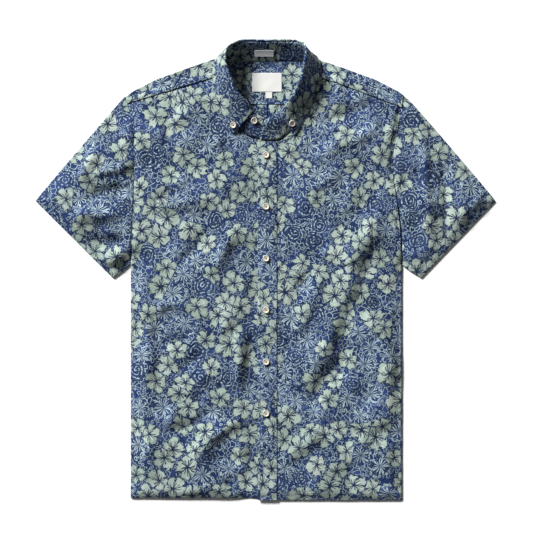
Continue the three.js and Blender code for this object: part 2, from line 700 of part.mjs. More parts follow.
// A button on the cloth under a plan point, sewn square to it. The cloth's slope is taken from three
// points under the button's rim.
function buttonOn(name, geometry, [x, y]) {
  const cloth = new THREE.Mesh(geometry, new THREE.MeshBasicMaterial({ side: THREE.DoubleSide }));
  const under = (atX, atY) => {
    const from = new THREE.Vector3(atX, atY, 200);
    return new THREE.Raycaster(from, new THREE.Vector3(0, 0, -1)).intersectObject(cloth)[0].point;
  };
  const reach = BUTTON_R * 0.7;
  const rim = [0, 1, 2].map((turn) => {
    const angle = (turn * 2 * Math.PI) / 3;
    return under(x + reach * Math.cos(angle), y + reach * Math.sin(angle));
  });
  const normal = rim[1].clone().sub(rim[0]).cross(rim[2].clone().sub(rim[0])).normalize();
  const middle = rim[0].add(rim[1]).add(rim[2]).divideScalar(3);
  return button(name, middle.addScaledVector(normal, BUTTON_STANDOFF), normal);
}

function label(name, { x, y, wide, deep }, finish) {
  const geometry = new THREE.BoxGeometry(wide, deep, LABEL_THICK);
  const mesh = piece(name, geometry, finish);
  mesh.position.set(x, y, CLOTH + SEAM_GAP + LABEL_THICK / 2);
  return mesh;
}

function rectangle({ x, y, wide, deep }) {
  const right = x - wide / 2;
  const left = x + wide / 2;
  return [[right, y - deep / 2], [left, y - deep / 2], [left, y + deep / 2], [right, y + deep / 2]];
}

const leftFront = frontRows("left");
const rightFront = frontRows("right");
const stand = thicken(standGrid(), BAND_CLOTH);
const fall = thicken(fallGrid(stand), CLOTH);

const onLeftFront = solidOf(wall(layerOn(leftFront, SEAM_GAP, CLOTH)));
const placketStrip = rectangle({
  x: EDGE_X.left + PLACKET_WIDE / 2 - 1,
  y: (HEM_Y.left + NECK_CORNER_Y.left) / 2,
  wide: PLACKET_WIDE + 2,
  deep: NECK_CORNER_Y.left - HEM_Y.left + 40,
});
const placket = geometryOf(onLeftFront.intersect(block(placketStrip)));
const pocket = geometryOf(onLeftFront.intersect(block([...POCKET].reverse())));

// The tag on the stand's inside, which is the side that faces up at the back of the neck
const insideOfStand = stand.map((row) => row.map(([outer, inner]) => [inner, outer]));
const onStand = solidOf(wall(layerOn(insideOfStand, SEAM_GAP, LABEL_THICK)));
const standTag = geometryOf(onStand.intersect(block(rectangle(STAND_TAG))));

const shirt = new THREE.Group();
shirt.add(
  piece("back", back(), PRINTED),
  piece("yoke", yoke(), PRINTED),
  piece("front_left", wall(leftFront), PRINTED),
  piece("front_right", wall(rightFront), PRINTED),
  piece("placket", placket, PRINTED),
  piece("pocket", pocket, PRINTED),
  piece("sleeve_left", sleeve("left"), PRINTED),
  piece("sleeve_right", sleeve("right"), PRINTED),
  piece("collar_stand", wall(stand), PRINTED),
  piece("collar_fall", wall(fall), PRINTED),
  label("neck_label", NECK_LABEL, LABEL_WHITE),
  label("size_tab", SIZE_TAB, LABEL_WHITE),
  piece("stand_tag", standTag, TAG_GREY),
);

for (let count = 0; count < PLACKET_BUTTONS; count += 1) {
  const place = [BUTTON_X, FIRST_BUTTON_Y - count * BUTTON_PITCH];
  shirt.add(buttonOn(`button_${count + 1}`, placket, place));
}
shirt.add(
  buttonOn("button_band", wall(stand), BAND_BUTTON),
  buttonOn("button_point_right", wall(fall), RIGHT_POINT_BUTTON),
  buttonOn("button_point_left", wall(fall), LEFT_POINT_BUTTON),
);

export default shirt;
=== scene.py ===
"""A short-sleeved flowered shirt laid flat on its back: its cloth, print, stitching and buttons.

Sizes are in millimetres until a mesh is made. +Y runs from the hem to the collar and +X is the
wearer's left, which is on the viewer's right. Left and right are the wearer's throughout.
"""

import math
from collections import namedtuple

import bpy
import numpy as np
from mathutils import Matrix, Vector


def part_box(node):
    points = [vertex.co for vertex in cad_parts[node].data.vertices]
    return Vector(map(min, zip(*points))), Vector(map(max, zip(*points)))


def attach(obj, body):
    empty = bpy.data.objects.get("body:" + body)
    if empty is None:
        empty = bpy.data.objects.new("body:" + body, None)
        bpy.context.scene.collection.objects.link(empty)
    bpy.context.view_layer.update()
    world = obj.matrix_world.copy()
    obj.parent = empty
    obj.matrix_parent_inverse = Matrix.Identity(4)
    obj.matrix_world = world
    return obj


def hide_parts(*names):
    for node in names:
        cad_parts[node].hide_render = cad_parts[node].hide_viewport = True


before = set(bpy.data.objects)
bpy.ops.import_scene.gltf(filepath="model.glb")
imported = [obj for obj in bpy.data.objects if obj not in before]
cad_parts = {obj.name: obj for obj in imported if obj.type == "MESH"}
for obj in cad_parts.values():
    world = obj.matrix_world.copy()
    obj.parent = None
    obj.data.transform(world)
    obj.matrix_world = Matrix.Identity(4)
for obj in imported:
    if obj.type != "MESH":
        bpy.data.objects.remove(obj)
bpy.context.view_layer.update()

MM = 0.001

# The shirt's form, as its solids have it
CLOTH = 1.2
BACK_CLOTH = 1.0
SEAM_GAP = 0.3
LAYER_GAP = 0.7
MIDDLE_TOP = 7.0
OUTER_TOP = 5.2
MIDDLE_REACH = 60
OUTER_REACH = 130
LEAST_TOP = 3.2
SEAM_DIP = 0.8
SIDE_ROUND = 6
ARM_DIP = 2.0
YOKE_LAP = 1.6
YOKE_TURNS = 7

HEM_Y = {"left": -389.7, "right": -386.5, "back": -386.5}
SIDE_X = {"left": 232, "right": -229}
EDGE_X = {"left": -12.8, "right": 16.2}
NECK_CORNER_Y = {"left": 220, "right": 219.5}
PLACKET_WIDE = 32.3
BACK_SEAM_Y = 282.6
BACK_NECK_Y = 354.4
UNDERLAP = (-54, -22)
PLEAT_AT_YOKE = 19
PLEAT_AT_HEM = 5
PLEAT_MIDDLE_X = 4
PLEAT_BEND = 0.65
PLEAT_SLIT = 1.1
PLEAT_RUN = 32
ARM_STEPS = 13
NECK_STEPS = 7

ARMHOLE = {
    "left": [(232, 9), (230, 45), (225, 100), (216, 165), (217, 200), (226, 250), (234, 298)],
    "right": [
        (-229, 10), (-227, 60), (-223.5, 120), (-223, 155), (-223.5, 200), (-226, 250), (-238, 296),
    ],
}
NECKLINE = {
    "left": [
        (-12.8, 220), (7.7, 218.6), (25, 220), (47.4, 240), (63.8, 270.6), (73.4, 299),
        (79.5, 332.4),
    ],
    "right": [
        (16.2, 219.5), (-5, 221.5), (-23, 225), (-46, 241), (-62.4, 268.6), (-72.4, 301),
        (-78.6, 330),
    ],
}
YOKE_SHARE = {"left": 0.925, "right": 0.955}
SHOULDER = [(0, 361), (80, 361), (91, 358), (132, 344), (187, 324), (227, 303.4), (243, 290)]
SLEEVE_FOLD = {
    "left": [(234, 298), (243, 290), (271, 259.2), (387, 123), (390.5, 118)],
    "right": [(-238, 296), (-244, 289.8), (-271, 259.2), (-387, 123), (-390.5, 118)],
}
UNDERARM = {
    "left": [(232, 9), (242.3, 0.8), (264.4, -12.8)],
    "right": [(-229, 10), (-238.9, 0.8), (-259.4, -12.8)],
}

# Folds of the upper layer: the width over which each fades, its height, below zero for a trough,
# and its line
Fold = namedtuple("Fold", "wide high line")
FOLDS = [
    Fold(15, 3.6, [
        (203, 191), (196, 123), (173, 60), (150, 14), (135, -42), (116, -88), (99, -128),
        (79, -166), (54, -207),
    ]),
    Fold(11, -3.4, [(152, -105), (123, -159), (93, -200), (62, -241)]),
    Fold(9, 2.4, [(111, 14), (93, -20), (79, -50), (65, -84), (42, -125)]),
    Fold(9, -2.2, [(89, 21), (72, -9), (54, -42), (45, -74)]),
    Fold(12, 2.8, [(96, -251), (69, -293), (37, -314), (-3, -327)]),
    Fold(13, 2.4, [(188, -241), (161, -292), (135, -336)]),
    Fold(11, 1.7, [(178, -207), (193, -241), (196, -271)]),
    Fold(9, -1.7, [(137, -332), (142, -360), (150, -390)]),
    Fold(13, 2.2, [(167, -60), (193, -111), (210, -162), (217, -207)]),
    Fold(11, -2.4, [(79, 246), (135, 264), (198, 283)]),
    Fold(12, 2.6, [(52, 188), (110, 205), (161, 227), (201, 252)]),
    Fold(7, 1.6, [(215, 280), (217, 249), (213, 218)]),
    Fold(10, 2.2, [(130, 178), (99, 152), (59, 127)]),
    Fold(9, 1.5, [(149, 150), (147, 123), (137, 96)]),
    Fold(9, -1.8, [(110, 59), (89, 35), (67, 11)]),
    Fold(10, 1.5, [(220, 59), (225, 14), (215, -33)]),
    Fold(10, 1.8, [(120, -173), (147, -193), (154, -217)]),
    Fold(10, -3.0, [(-88, 76), (-123, 36), (-156, -3)]),
    Fold(11, 2.6, [(-31, 82), (-55, 52), (-76, 18), (-105, -20)]),
    Fold(9, 1.7, [(-196, 132), (-154, 147), (-111, 171)]),
    Fold(10, 1.8, [(-196, 96), (-152, 111), (-88, 120)]),
    Fold(9, 1.4, [(-65, 167), (-64, 140), (-71, 110)]),
    Fold(12, 2.2, [(-31, 8), (-31, -33), (-26, -88)]),
    Fold(11, 3.2, [(-26, -94), (-38, -122), (-45, -162), (-38, -224)]),
    Fold(9, 1.6, [(-74, -50), (-67, -88), (-84, -122)]),
    Fold(9, 2.4, [(-203, -77), (-198, -132), (-198, -207)]),
    Fold(10, 2.6, [(-203, -64), (-166, -59), (-125, -66)]),
    Fold(9, -1.8, [(-183, -122), (-152, -120), (-118, -101)]),
    Fold(8, -1.8, [(-98, -135), (-128, -154), (-152, -178)]),
    Fold(9, 1.7, [(-99, -166), (-111, -186), (-135, -207)]),
    Fold(11, 3.5, [(-26, -241), (-62, -266), (-94, -288), (-116, -314), (-135, -353)]),
    Fold(9, -1.9, [(-64, -229), (-101, -246), (-135, -266), (-169, -285)]),
    Fold(9, 2.1, [(-43, -288), (-37, -315), (-43, -349)]),
    Fold(8, -1.8, [(-57, -343), (-60, -366), (-54, -390)]),
    Fold(10, 1.5, [(-154, -224), (-156, -251), (-169, -271)]),
    Fold(9, 1.6, [(-196, -271), (-193, -298), (-213, -319)]),
    Fold(8, 3.0, [(-295, 154), (-261, 171), (-225, 178)]),
    Fold(9, -4.6, [(-305, 125), (-261, 133), (-226, 134)]),
    Fold(12, 4.4, [(-336, 102), (-285, 92), (-227, 99)]),
    Fold(12, -4.8, [(-332, 48), (-276, 44), (-226, 52)]),
    Fold(8, 2.4, [(-298, 14), (-264, 14), (-234, 21)]),
    Fold(7, -3.0, [(-272, -4), (-254, 2), (-230, 18)]),
    Fold(10, 2.4, [(-275, 222), (-298, 181), (-326, 127)]),
    Fold(8, 2.4, [(-229, 293), (-227, 246), (-241, 198)]),
    Fold(12, 2.6, [(-156, 239), (-128, 273), (-99, 317)]),
    Fold(9, 1.9, [(-196, 273), (-179, 242), (-186, 212)]),
    Fold(10, 2.0, [(-84, 208), (-74, 229), (-82, 252)]),
    Fold(9, 3.1, [(264, 263), (271, 205), (269, 137), (275, 82), (273, 31)]),
    Fold(8, -2.8, [(302, 195), (307, 127), (309, 52)]),
    Fold(9, 2.1, [(331, 171), (339, 116), (331, 52)]),
    Fold(7, -1.6, [(230, 205), (235, 161), (232, 120)]),
    Fold(8, 1.6, [(365, 157), (366, 127), (354, 96)]),
]
FOLD_GAIN = 1.9
PUFF = 1.2
PUFF_CLEAR = 3.2
PUFF_REACH = (20, 105)
FOLDS_FROM = (18, 42)
OUTLINE_TOP = 1.5
HEM_TOP = 1.35
HEM_TOP_FROM = (62, 90)
SOFT_FLOOR = 0.5

# A circle round the collar inside which the cloth below it lies flat
COLLAR_REACH = (3, 318, 95)
COLLAR_CLEAR = (1.08, 1.32)

# Reliefs of the loose cloth: height, size of the bumps and the draw's seed
LOOSE = [(2.6, 50, 5), (1.4, 25, 6)]
WAVER, WAVER_SIZE = 4, 30

# The collar's stations, from the right front round the neck to the left front
Station = namedtuple("Station", "lie lift seam fold edge")
COLLAR = [
    Station(12, 5, (4, 221.4, 4.4), (-2, 258, 12.2), (-36, 236, 9)),
    Station(12, 5, (-10, 224, 4.6), (-12, 263, 13.6), (-44, 233, 9)),
    Station(12, 5, (-23, 227, 5.4), (-19.6, 268.5, 16), (-53.4, 231.8, 9.2)),
    Station(12, 6, (-44.4, 243, 6), (-28.4, 280.4, 22), (-66.5, 246, 8.8)),
    Station(12, 6, (-60, 270, 6.2), (-43, 295.4, 29), (-78, 272, 8.8)),
    Station(10, 5, (-70.2, 302, 6.2), (-56, 320, 35), (-85.6, 301, 8.8)),
    Station(8, 4, (-76, 332, 6), (-64.6, 345, 38), (-89.6, 330, 9)),
    Station(6, 3, (-76.4, 345, 5), (-66.4, 358, 38), (-87.4, 349, 9.4)),
    Station(6, 0, (-72, 355.6, 2.6), (-64.4, 371, 36), (-80.4, 365, 5)),
    Station(12, 0, (-62, 355.2, 0.9), (-54, 380, 30), (-59, 367, 0.7)),
    Station(23, 0, (-40, 355.2, 0.9), (-40, 384.8, 24.5), (-41, 364, 0.7)),
    Station(25, 0, (2, 355.2, 0.9), (1, 385, 22), (1, 363, 0.7)),
    Station(23, 0, (42, 355.2, 0.9), (50, 384.8, 24.5), (44, 364, 0.7)),
    Station(12, 0, (65, 355.2, 0.9), (63.4, 380, 30), (66, 367, 0.7)),
    Station(6, 0, (74, 355.6, 2.6), (67, 371, 36), (85, 365.4, 5)),
    Station(6, 3, (77, 345, 5), (65.6, 358, 38), (93, 349, 9.4)),
    Station(8, 4, (76.6, 332, 6), (63.2, 345, 38), (95, 332, 9)),
    Station(10, 5, (71, 300, 6.2), (58, 320, 35), (89, 303, 8.8)),
    Station(12, 6, (61.6, 272, 6.2), (48, 296.8, 30), (76, 276, 8.8)),
    Station(12, 6, (45.6, 241.6, 6.2), (34.6, 277.6, 24), (63.4, 252, 8.8)),
    Station(12, 5, (24.4, 223.4, 6.4), (20.6, 266.6, 18), (48.4, 229.6, 9.6)),
    Station(12, 5, (8, 221.2, 6.4), (10, 260.4, 16.4), (36, 234, 9.6)),
    Station(12, 5, (-9.4, 221.6, 6.6), (-1, 254.6, 14.6), (26, 236, 9.6)),
]
FALL_FROM = 2
FALL_TO = 20
FALL_GAP = 0.9
ROLL = 7
ROLL_RISE = 6
ROLL_OUT = 3
STAND_SAG = 1.2
BAND_BULGE = 26

# Fine sizes of the real cloth and sewing
SHELL = 0.6
BACK_SHELL = 0.8
POCKET_SHELL = 0.9
PLACKET_SHELL = 1.1
COLLAR_SHELL = 1.1
STAND_SHELL = 1.3
LABEL_SHELL = 0.5
GRAIN = 3.2
EDGE_STRIP = 0.4
HEM_DEEP = 15
CUFF_HEM = 24
PLACKET_STITCH = 4.5
POCKET_STITCH = 1.6
POCKET_HEM = 24
ARM_STITCH = 2.5
YOKE_STITCH = 2
COLLAR_STITCH = 6
STITCH_PITCH = 3.0
STITCH_LONG = 2.2
STITCH_WIDE = 0.45
THREAD_LIFT = 0.1
HEM_THREAD_LIFT = 0.15
FALL_THREAD_LIFT = 0.6
HEM_THICKER = 0.45
STITCH_GROOVE = 1.3
SEAM_PUCKER = 0.3
POCKET_FULL = 1.1
PLEAT_PRESS = 0.45
BACK_LAP = 2.6

POCKET_X = (77.4, 180)
POCKET_TOP = 137
POCKET_SIDE_Y = 27
POCKET_POINT = (128.8, 6)

BUTTON_THICK = 2.4
BUTTON_TURNS = 48
# The button's section: distance from the middle, and height
BUTTON_RIM = [
    (0, 0), (4.4, 0), (5.2, 0.35), (5.5, 1.0), (5.5, 1.7), (5.25, 2.2), (4.8, 2.4), (4.3, 2.3),
    (3.8, 1.85), (3.2, 1.6), (1.6, 1.5), (0, 1.5),
]
HOLE_FROM_MIDDLE = 1.35
HOLE_R = 0.62
HOLE_HIGH = 1.56
THREAD_REACH = 1.4
THREAD_RINGS = 7

# Labels: the place of their middles, width and length
NECK_LABEL = (2.6, 319.5, 50.3, 32)
SIZE_TAB = (5.6, 297.9, 11.2, 10.4)
LABEL_HIGH = CLOTH + SEAM_GAP + 0.5
STAND_TAG = (-2.4, 368.4, 32.3, 9.8)
TAG_LIFT = 2.2


def lerp(a, b, share):
    return a + (b - a) * share


def smoothstep(value, low, high):
    share = np.clip((value - low) / (high - low), 0, 1)
    return share * share * (3 - 2 * share)


def between(at, i, j, s, t):
    """The value between the four corners of a cell, s along the first way and t the second."""
    low = lerp(at(i, j), at(i + 1, j), s)
    high = lerp(at(i, j + 1), at(i + 1, j + 1), s)
    return lerp(low, high, t)


def hump(value, middle, wide):
    return np.exp(-(((value - middle) / wide) ** 2))


def run_along(points, axis=0):
    """The length along a row or grid of points, from its first."""
    parts = np.linalg.norm(np.diff(points, axis=axis), axis=-1)
    return np.insert(np.cumsum(parts, axis=axis), 0, 0, axis=axis)


class Curve:
    """A centripetal Catmull-Rom curve through points."""

    def __init__(self, points):
        points = np.array(points, float)
        first = 2 * points[0] - points[1]
        last = 2 * points[-1] - points[-2]
        self.spans = len(points) - 1
        self.points = np.vstack([first, points, last])
        self.steps = np.linspace(0, 1, 201)
        self.lengths = run_along(self.at(self.steps))

    def at(self, t):
        place = np.asarray(t, float) * self.spans
        k = np.clip(np.floor(place).astype(int), 0, self.spans - 1)
        w = (place - k)[..., None]
        p0, p1, p2, p3 = (self.points[k + n] for n in range(4))
        gap = lambda a, b: np.sqrt(np.linalg.norm(b - a, axis=-1))[..., None]
        d0, d1, d2 = gap(p0, p1), gap(p1, p2), gap(p2, p3)
        m1 = ((p1 - p0) / d0 - (p2 - p0) / (d0 + d1) + (p2 - p1) / d1) * d1
        m2 = ((p2 - p1) / d1 - (p3 - p1) / (d1 + d2) + (p3 - p2) / d2) * d1
        c2 = -3 * p1 + 3 * p2 - 2 * m1 - m2
        c3 = 2 * p1 - 2 * p2 + m1 + m2
        return p1 + w * (m1 + w * (c2 + w * c3))

    def at_length(self, share):
        return self.at(np.interp(np.asarray(share) * self.lengths[-1], self.lengths, self.steps))


armhole = {side: Curve(points) for side, points in ARMHOLE.items()}


def rumple(x, y, size, seed):
    """Soft uneven relief from -1 to 1 with bumps of about that size."""
    lattice = np.random.default_rng(seed).uniform(-1, 1, (96, 96))
    u, v = x / size + 40, y / size + 40
    i, j = np.floor(u).astype(int), np.floor(v).astype(int)
    s, t = smoothstep(u - i, 0, 1), smoothstep(v - j, 0, 1)
    return between(lambda a, b: lattice[a % 96, b % 96], i, j, s, t)


def nearest(x, y, line):
    """Distance to a line of points, and how far along it the nearest place is, from 0 to 1."""
    best, share = np.full(np.shape(x), 1e9), np.zeros(np.shape(x))
    for k, (a, b) in enumerate(zip(line, line[1:])):
        (ax, ay), (dx, dy) = a, b - a
        s = np.clip(((x - ax) * dx + (y - ay) * dy) / (dx * dx + dy * dy), 0, 1)
        away = np.hypot(x - ax - dx * s, y - ay - dy * s)
        share = np.where(away < best, (k + s) / (len(line) - 1), share)
        best = np.minimum(best, away)
    return best, share


def fold_relief(x, y, fold, seed):
    """A soft ridge or trough, uneven along its line and fading at both ends."""
    line = Curve(fold.line).at(np.linspace(0, 1, 4 * len(fold.line) - 3))
    low, high = line.min(axis=0) - 3 * fold.wide, line.max(axis=0) + 3 * fold.wide
    near = (x > low[0]) & (x < high[0]) & (y > low[1]) & (y < high[1])
    relief = np.zeros(np.shape(x))
    away, share = nearest(x[near], y[near], line)
    uneven = rumple(share * 3.3, share * 0, 1.0, seed)
    wide = fold.wide * (1.12 + 0.25 * uneven)
    fade = smoothstep(share, 0, 0.3) * (1 - smoothstep(share, 0.7, 1))
    relief[near] = fold.high * fade * (1 + 0.25 * uneven) * np.exp(-((away / wide) ** 2))
    return relief


# The shirt's outline in plan, and how far in from it the cloth falls away
right_shoulder = [(-x, y) for x, y in SHOULDER[-2:1:-1]]
OUTLINES = [
    (28, [
        (232, -389.7), (232, 9), *UNDERARM["left"][1:], *SLEEVE_FOLD["left"][::-1],
        *SHOULDER[-2:1:-1],
    ]),
    (28, [
        (-229, -386.5), (-229, 10), *UNDERARM["right"][1:], *SLEEVE_FOLD["right"][::-1],
        *right_shoulder,
    ]),
    (85, [*SLEEVE_FOLD["right"][2::-1], *right_shoulder]),
    (24, UNDERARM["left"]),
    (24, UNDERARM["right"]),
    (18, [(-229, -386.5), (232, -389.7)]),
]


def top_at(x, y):
    """Height of the upper layer's face at a place."""
    x, y = np.broadcast_arrays(np.asarray(x, float), np.asarray(y, float))
    outward = np.abs(x - PLEAT_MIDDLE_X)
    puffed = smoothstep(outward, *PUFF_REACH)
    height = lerp(MIDDLE_TOP, OUTER_TOP, smoothstep(outward, MIDDLE_REACH, OUTER_REACH))
    height = height + puffed * PUFF
    at_x, at_y, reach = COLLAR_REACH
    past_collar = smoothstep(np.hypot(x - at_x, y - at_y) / reach, *COLLAR_CLEAR)
    clear = smoothstep(outward, *FOLDS_FROM) * past_collar
    height = height + puffed * past_collar * PUFF_CLEAR
    wavy_x = x + WAVER * rumple(x, y, WAVER_SIZE, 7)
    wavy_y = y + WAVER * rumple(x, y, WAVER_SIZE, 8)
    for seed, fold in enumerate(FOLDS):
        height = height + clear * FOLD_GAIN * fold_relief(wavy_x, wavy_y, fold, 60 + seed)
    slanted = (x + 0.6 * y, y - 0.6 * x)
    loose = sum(high * rumple(*slanted, wide, seed) for high, wide, seed in LOOSE)
    height = height + (0.15 + 0.85 * clear) * loose
    inside = [
        smoothstep(nearest(x, y, np.array(line, float))[0], -6, deep) for deep, line in OUTLINES
    ]
    inside = np.min(inside, axis=0)
    height = lerp(OUTLINE_TOP, height, inside)
    # Never below a floor, which is lower by the outline, and with a soft bend where they meet
    at_outline = smoothstep(outward, *HEM_TOP_FROM) * (1 - smoothstep(inside, 0.05, 0.5))
    least = lerp(LEAST_TOP - 0.6, HEM_TOP, at_outline)
    return least + np.logaddexp(0, (height - least) / SOFT_FLOOR) * SOFT_FLOOR


def front_height(side, x, y):
    height = top_at(x, y)
    if side == "right":
        height = height - smoothstep(x, *UNDERLAP) * (CLOTH + LAYER_GAP)
    return height


def spaced(total, step=GRAIN, marks=()):
    """Places from 0 to total about a step apart, closer at the edges and at marks."""
    places = list(np.linspace(0, total, max(int(round(total / step)), 2) + 1))
    for mark in marks:
        places = [p for p in places if abs(p - mark) > 1.6 or p in (0, total)]
        places += [mark - 1.1, mark, mark + 1.1]
    places += [EDGE_STRIP, total - EDGE_STRIP]
    return np.array(sorted(set(np.clip(places, 0, total))))


def hem_relief(away, deep):
    """A turned hem: two more layers up to its stitch line, which is drawn in."""
    thicker = 1 - smoothstep(away, deep, deep + 2.5) - hump(away, deep, STITCH_GROOVE)
    return HEM_THICKER * thicker


def stitched_edge(height, away, edge, groove):
    """Round a height off at its edge, and draw it in along the stitch line.

    edge is how deep and how wide, and groove is how deep, where and how wide.
    """
    (fall, near), (deep, at, wide) = edge, groove
    return height - fall * np.exp(-away / near) - deep * hump(away, at, wide)


def normals_of(grid):
    along = np.gradient(grid, axis=0)
    across = np.gradient(grid, axis=1)
    normal = np.cross(across, along)
    return normal / np.maximum(np.linalg.norm(normal, axis=-1, keepdims=True), 1e-9)


def add_object(name, data):
    made = bpy.data.objects.new(name, data)
    bpy.context.scene.collection.objects.link(made)
    return made


def new_piece(name, points, faces):
    """A smooth mesh object from points in millimetres."""
    mesh = bpy.data.meshes.new(name)
    mesh.from_pydata((np.array(points) * MM).tolist(), [], faces)
    mesh.polygons.foreach_set("use_smooth", np.ones(len(mesh.polygons), bool))
    return add_object(name, mesh)


def cloth(name, grid, cut, thickness=SHELL, offset=-1.0, tube=False, flip=False):
    """A thin shell on a grid. cut is the same grid laid flat, with one column more on a tube."""
    rows, columns = grid.shape[:2]
    r, c = np.indices((rows - 1, columns if tube else columns - 1)).reshape(2, -1)
    corners = [(r, c), (r, c + 1), (r + 1, c + 1), (r + 1, c)]
    if flip:
        corners.reverse()
    faces = np.stack([a * columns + b % columns for a, b in corners], axis=1)
    flat = np.stack([cut[a, b] for a, b in corners], axis=1) * MM
    piece = new_piece(name, grid.reshape(-1, 3), faces.tolist())
    layer = piece.data.uv_layers.new(name="cut")
    layer.data.foreach_set("uv", flat.reshape(-1).astype(np.float32))
    shell = piece.modifiers.new("shell", "SOLIDIFY")
    shell.thickness = thickness * MM
    shell.offset = offset
    return piece


def dress(piece, slot, *nodes):
    """Give a piece its slot's material if it has none, attach it to the root body, and hide the
    solids it stands for.
    """
    if not piece.data.materials:
        piece.data.materials.append(materials[slot])
    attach(piece, "root")
    if nodes:
        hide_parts(*nodes)
    return piece


# ---- Cloth ----


def upright(x, ys):
    return np.stack([np.full_like(ys, x), ys], axis=1)


def front_grid(side):
    """Rows from the free edge or neckline out to the side fold or the armhole."""
    armpit = armhole[side].at_length(0)
    body = spaced(armpit[1] - HEM_Y[side], marks=[HEM_DEEP])[:-2]
    body_y = HEM_Y[side] + body
    arm = np.concatenate([[0], spaced(ARM_STEPS * 22)[2:] / 22])
    outer_arm = armhole[side].at_length(YOKE_SHARE[side] * arm / ARM_STEPS)
    corner = ARM_STEPS - NECK_STEPS
    edge_y = lerp(armpit[1], NECK_CORNER_Y[side], np.clip(arm / corner, 0, 1))
    on_edge = upright(EDGE_X[side], edge_y)
    on_neck = Curve(NECKLINE[side]).at_length(np.clip((arm - corner) / NECK_STEPS, 0, 1))
    inner_arm = np.where((arm > corner)[:, None], on_neck, on_edge)
    inner = np.vstack([upright(EDGE_X[side], body_y), inner_arm])[:, None]
    outer = np.vstack([upright(SIDE_X[side], body_y), outer_arm])[:, None]
    fallen = np.concatenate([np.ones_like(body_y), np.interp(arm, [0, 1, 2], [1, 0.4, 0])])[:, None]

    reach = np.linalg.norm(outer - inner, axis=-1, keepdims=True)
    out = (outer - inner) / reach
    shares = spaced(240) / 240
    flat = inner + out * (reach - SIDE_ROUND) * shares[None, :, None]
    height = front_height(side, flat[..., 0], flat[..., 1])
    from_hem = flat[..., 1] - HEM_Y[side]
    height += hem_relief(from_hem, HEM_DEEP) - 0.6 * np.exp(-from_hem / 1.2)
    top = height[:, -1:]
    foot = lerp(top - SEAM_DIP, BACK_CLOTH + 0.1, fallen)
    turns = np.radians([15, 30, 45, 60, 75, 90])[None]
    turned = outer - out * SIDE_ROUND * (1 - np.sin(turns))[..., None]
    turned_z = lerp(foot, top, np.cos(turns))
    plan = np.concatenate([flat, turned], axis=1)
    z = np.concatenate([height, turned_z], axis=1)
    # The seam draws the cloth in along the armhole
    arm_seam = (1 - fallen) * hump(np.linalg.norm(plan - outer, axis=-1), 2, 5)
    drawn_in = 1.6 * arm_seam * (1 + 0.8 * rumple(plan[..., 1] * 2.2, plan[..., 0] * 0, 10, 9))
    if side == "left":
        drawn_in = drawn_in * (0.1 + 1.4 * smoothstep(plan[..., 1], 90, 170))
    below_yoke = np.maximum(yoke_front_y(plan[..., 0], side) - plan[..., 1], 0)
    uneven = 1 + rumple(plan[..., 0] * 2, plan[..., 1] * 0, 12, 10)
    drawn_in = drawn_in + 0.9 * np.exp(-below_yoke / 2.5) * uneven
    z = np.minimum(z, np.maximum(z - drawn_in, 2.0))
    cut = plan.copy()
    fallen_by = np.concatenate([0 * height, top - turned_z], axis=1)
    cut[..., 0] += np.sign(SIDE_X[side]) * fallen_by * 0.7
    return np.dstack([plan, z]), cut


def placket_height(x, y):
    edge = np.minimum(x - EDGE_X["left"], EDGE_X["left"] + PLACKET_WIDE - x)
    height = front_height("left", x, y) + SEAM_GAP + CLOTH
    height = stitched_edge(height, edge, (0.5, 0.7), (0.35, PLACKET_STITCH, STITCH_GROOVE))
    pucker = rumple(y * 1.3, x * 0.4, 11, 21) * hump(edge, 3, 4)
    return height + SEAM_PUCKER * pucker + hem_relief(y - HEM_Y["left"], HEM_DEEP) * 0.6


def placket_grid():
    x = EDGE_X["left"] + spaced(PLACKET_WIDE, marks=[PLACKET_STITCH, PLACKET_WIDE - PLACKET_STITCH])
    top = np.interp(x, [EDGE_X["left"], 7.7, 25], [219.6, 218.2, 219.4])[None]
    share = spaced(610, marks=[HEM_DEEP])[:, None] / 610
    y = lerp(HEM_Y["left"], top, share)
    x = np.broadcast_to(x, y.shape)
    grid = np.dstack([x, y, placket_height(x, y)])
    return grid, np.dstack([x, y])


def pocket_bottom(x):
    corners = [POCKET_X[0], POCKET_POINT[0], POCKET_X[1]]
    return np.interp(x, corners, [POCKET_SIDE_Y, POCKET_POINT[1], POCKET_SIDE_Y])


def pocket_height(x, y):
    across = (x - POCKET_X[0]) / (POCKET_X[1] - POCKET_X[0])
    up = (y - pocket_bottom(x)) / (POCKET_TOP - pocket_bottom(x))
    edge = np.minimum(x - POCKET_X[0], POCKET_X[1] - x)
    edge = np.minimum(edge, (y - pocket_bottom(x)) * 0.98)
    height = front_height("left", x, y) + SEAM_GAP + CLOTH * 0.8
    full = np.sin(np.pi * np.clip(across, 0, 1)) ** 0.7 * np.clip(up, 0, 1) ** 0.6
    height = height + POCKET_FULL * full
    height = stitched_edge(height, edge, (0.6, 0.8), (0.3, POCKET_STITCH, 1.0))
    height = height - 0.35 * hump(POCKET_TOP - y, POCKET_HEM, 1.4)
    return height + 0.3 * (y > POCKET_TOP - POCKET_HEM)


def pocket_grid():
    wide = POCKET_X[1] - POCKET_X[0]
    marks = [POCKET_STITCH, wide - POCKET_STITCH, POCKET_POINT[0] - POCKET_X[0]]
    x = POCKET_X[0] + spaced(wide, marks=marks)
    share = spaced(115, marks=[115 - POCKET_HEM, POCKET_STITCH])[:, None] / 115
    y = lerp(pocket_bottom(x)[None], POCKET_TOP, share)
    x = np.broadcast_to(x, y.shape)
    return np.dstack([x, y, pocket_height(x, y)]), np.dstack([x, y])


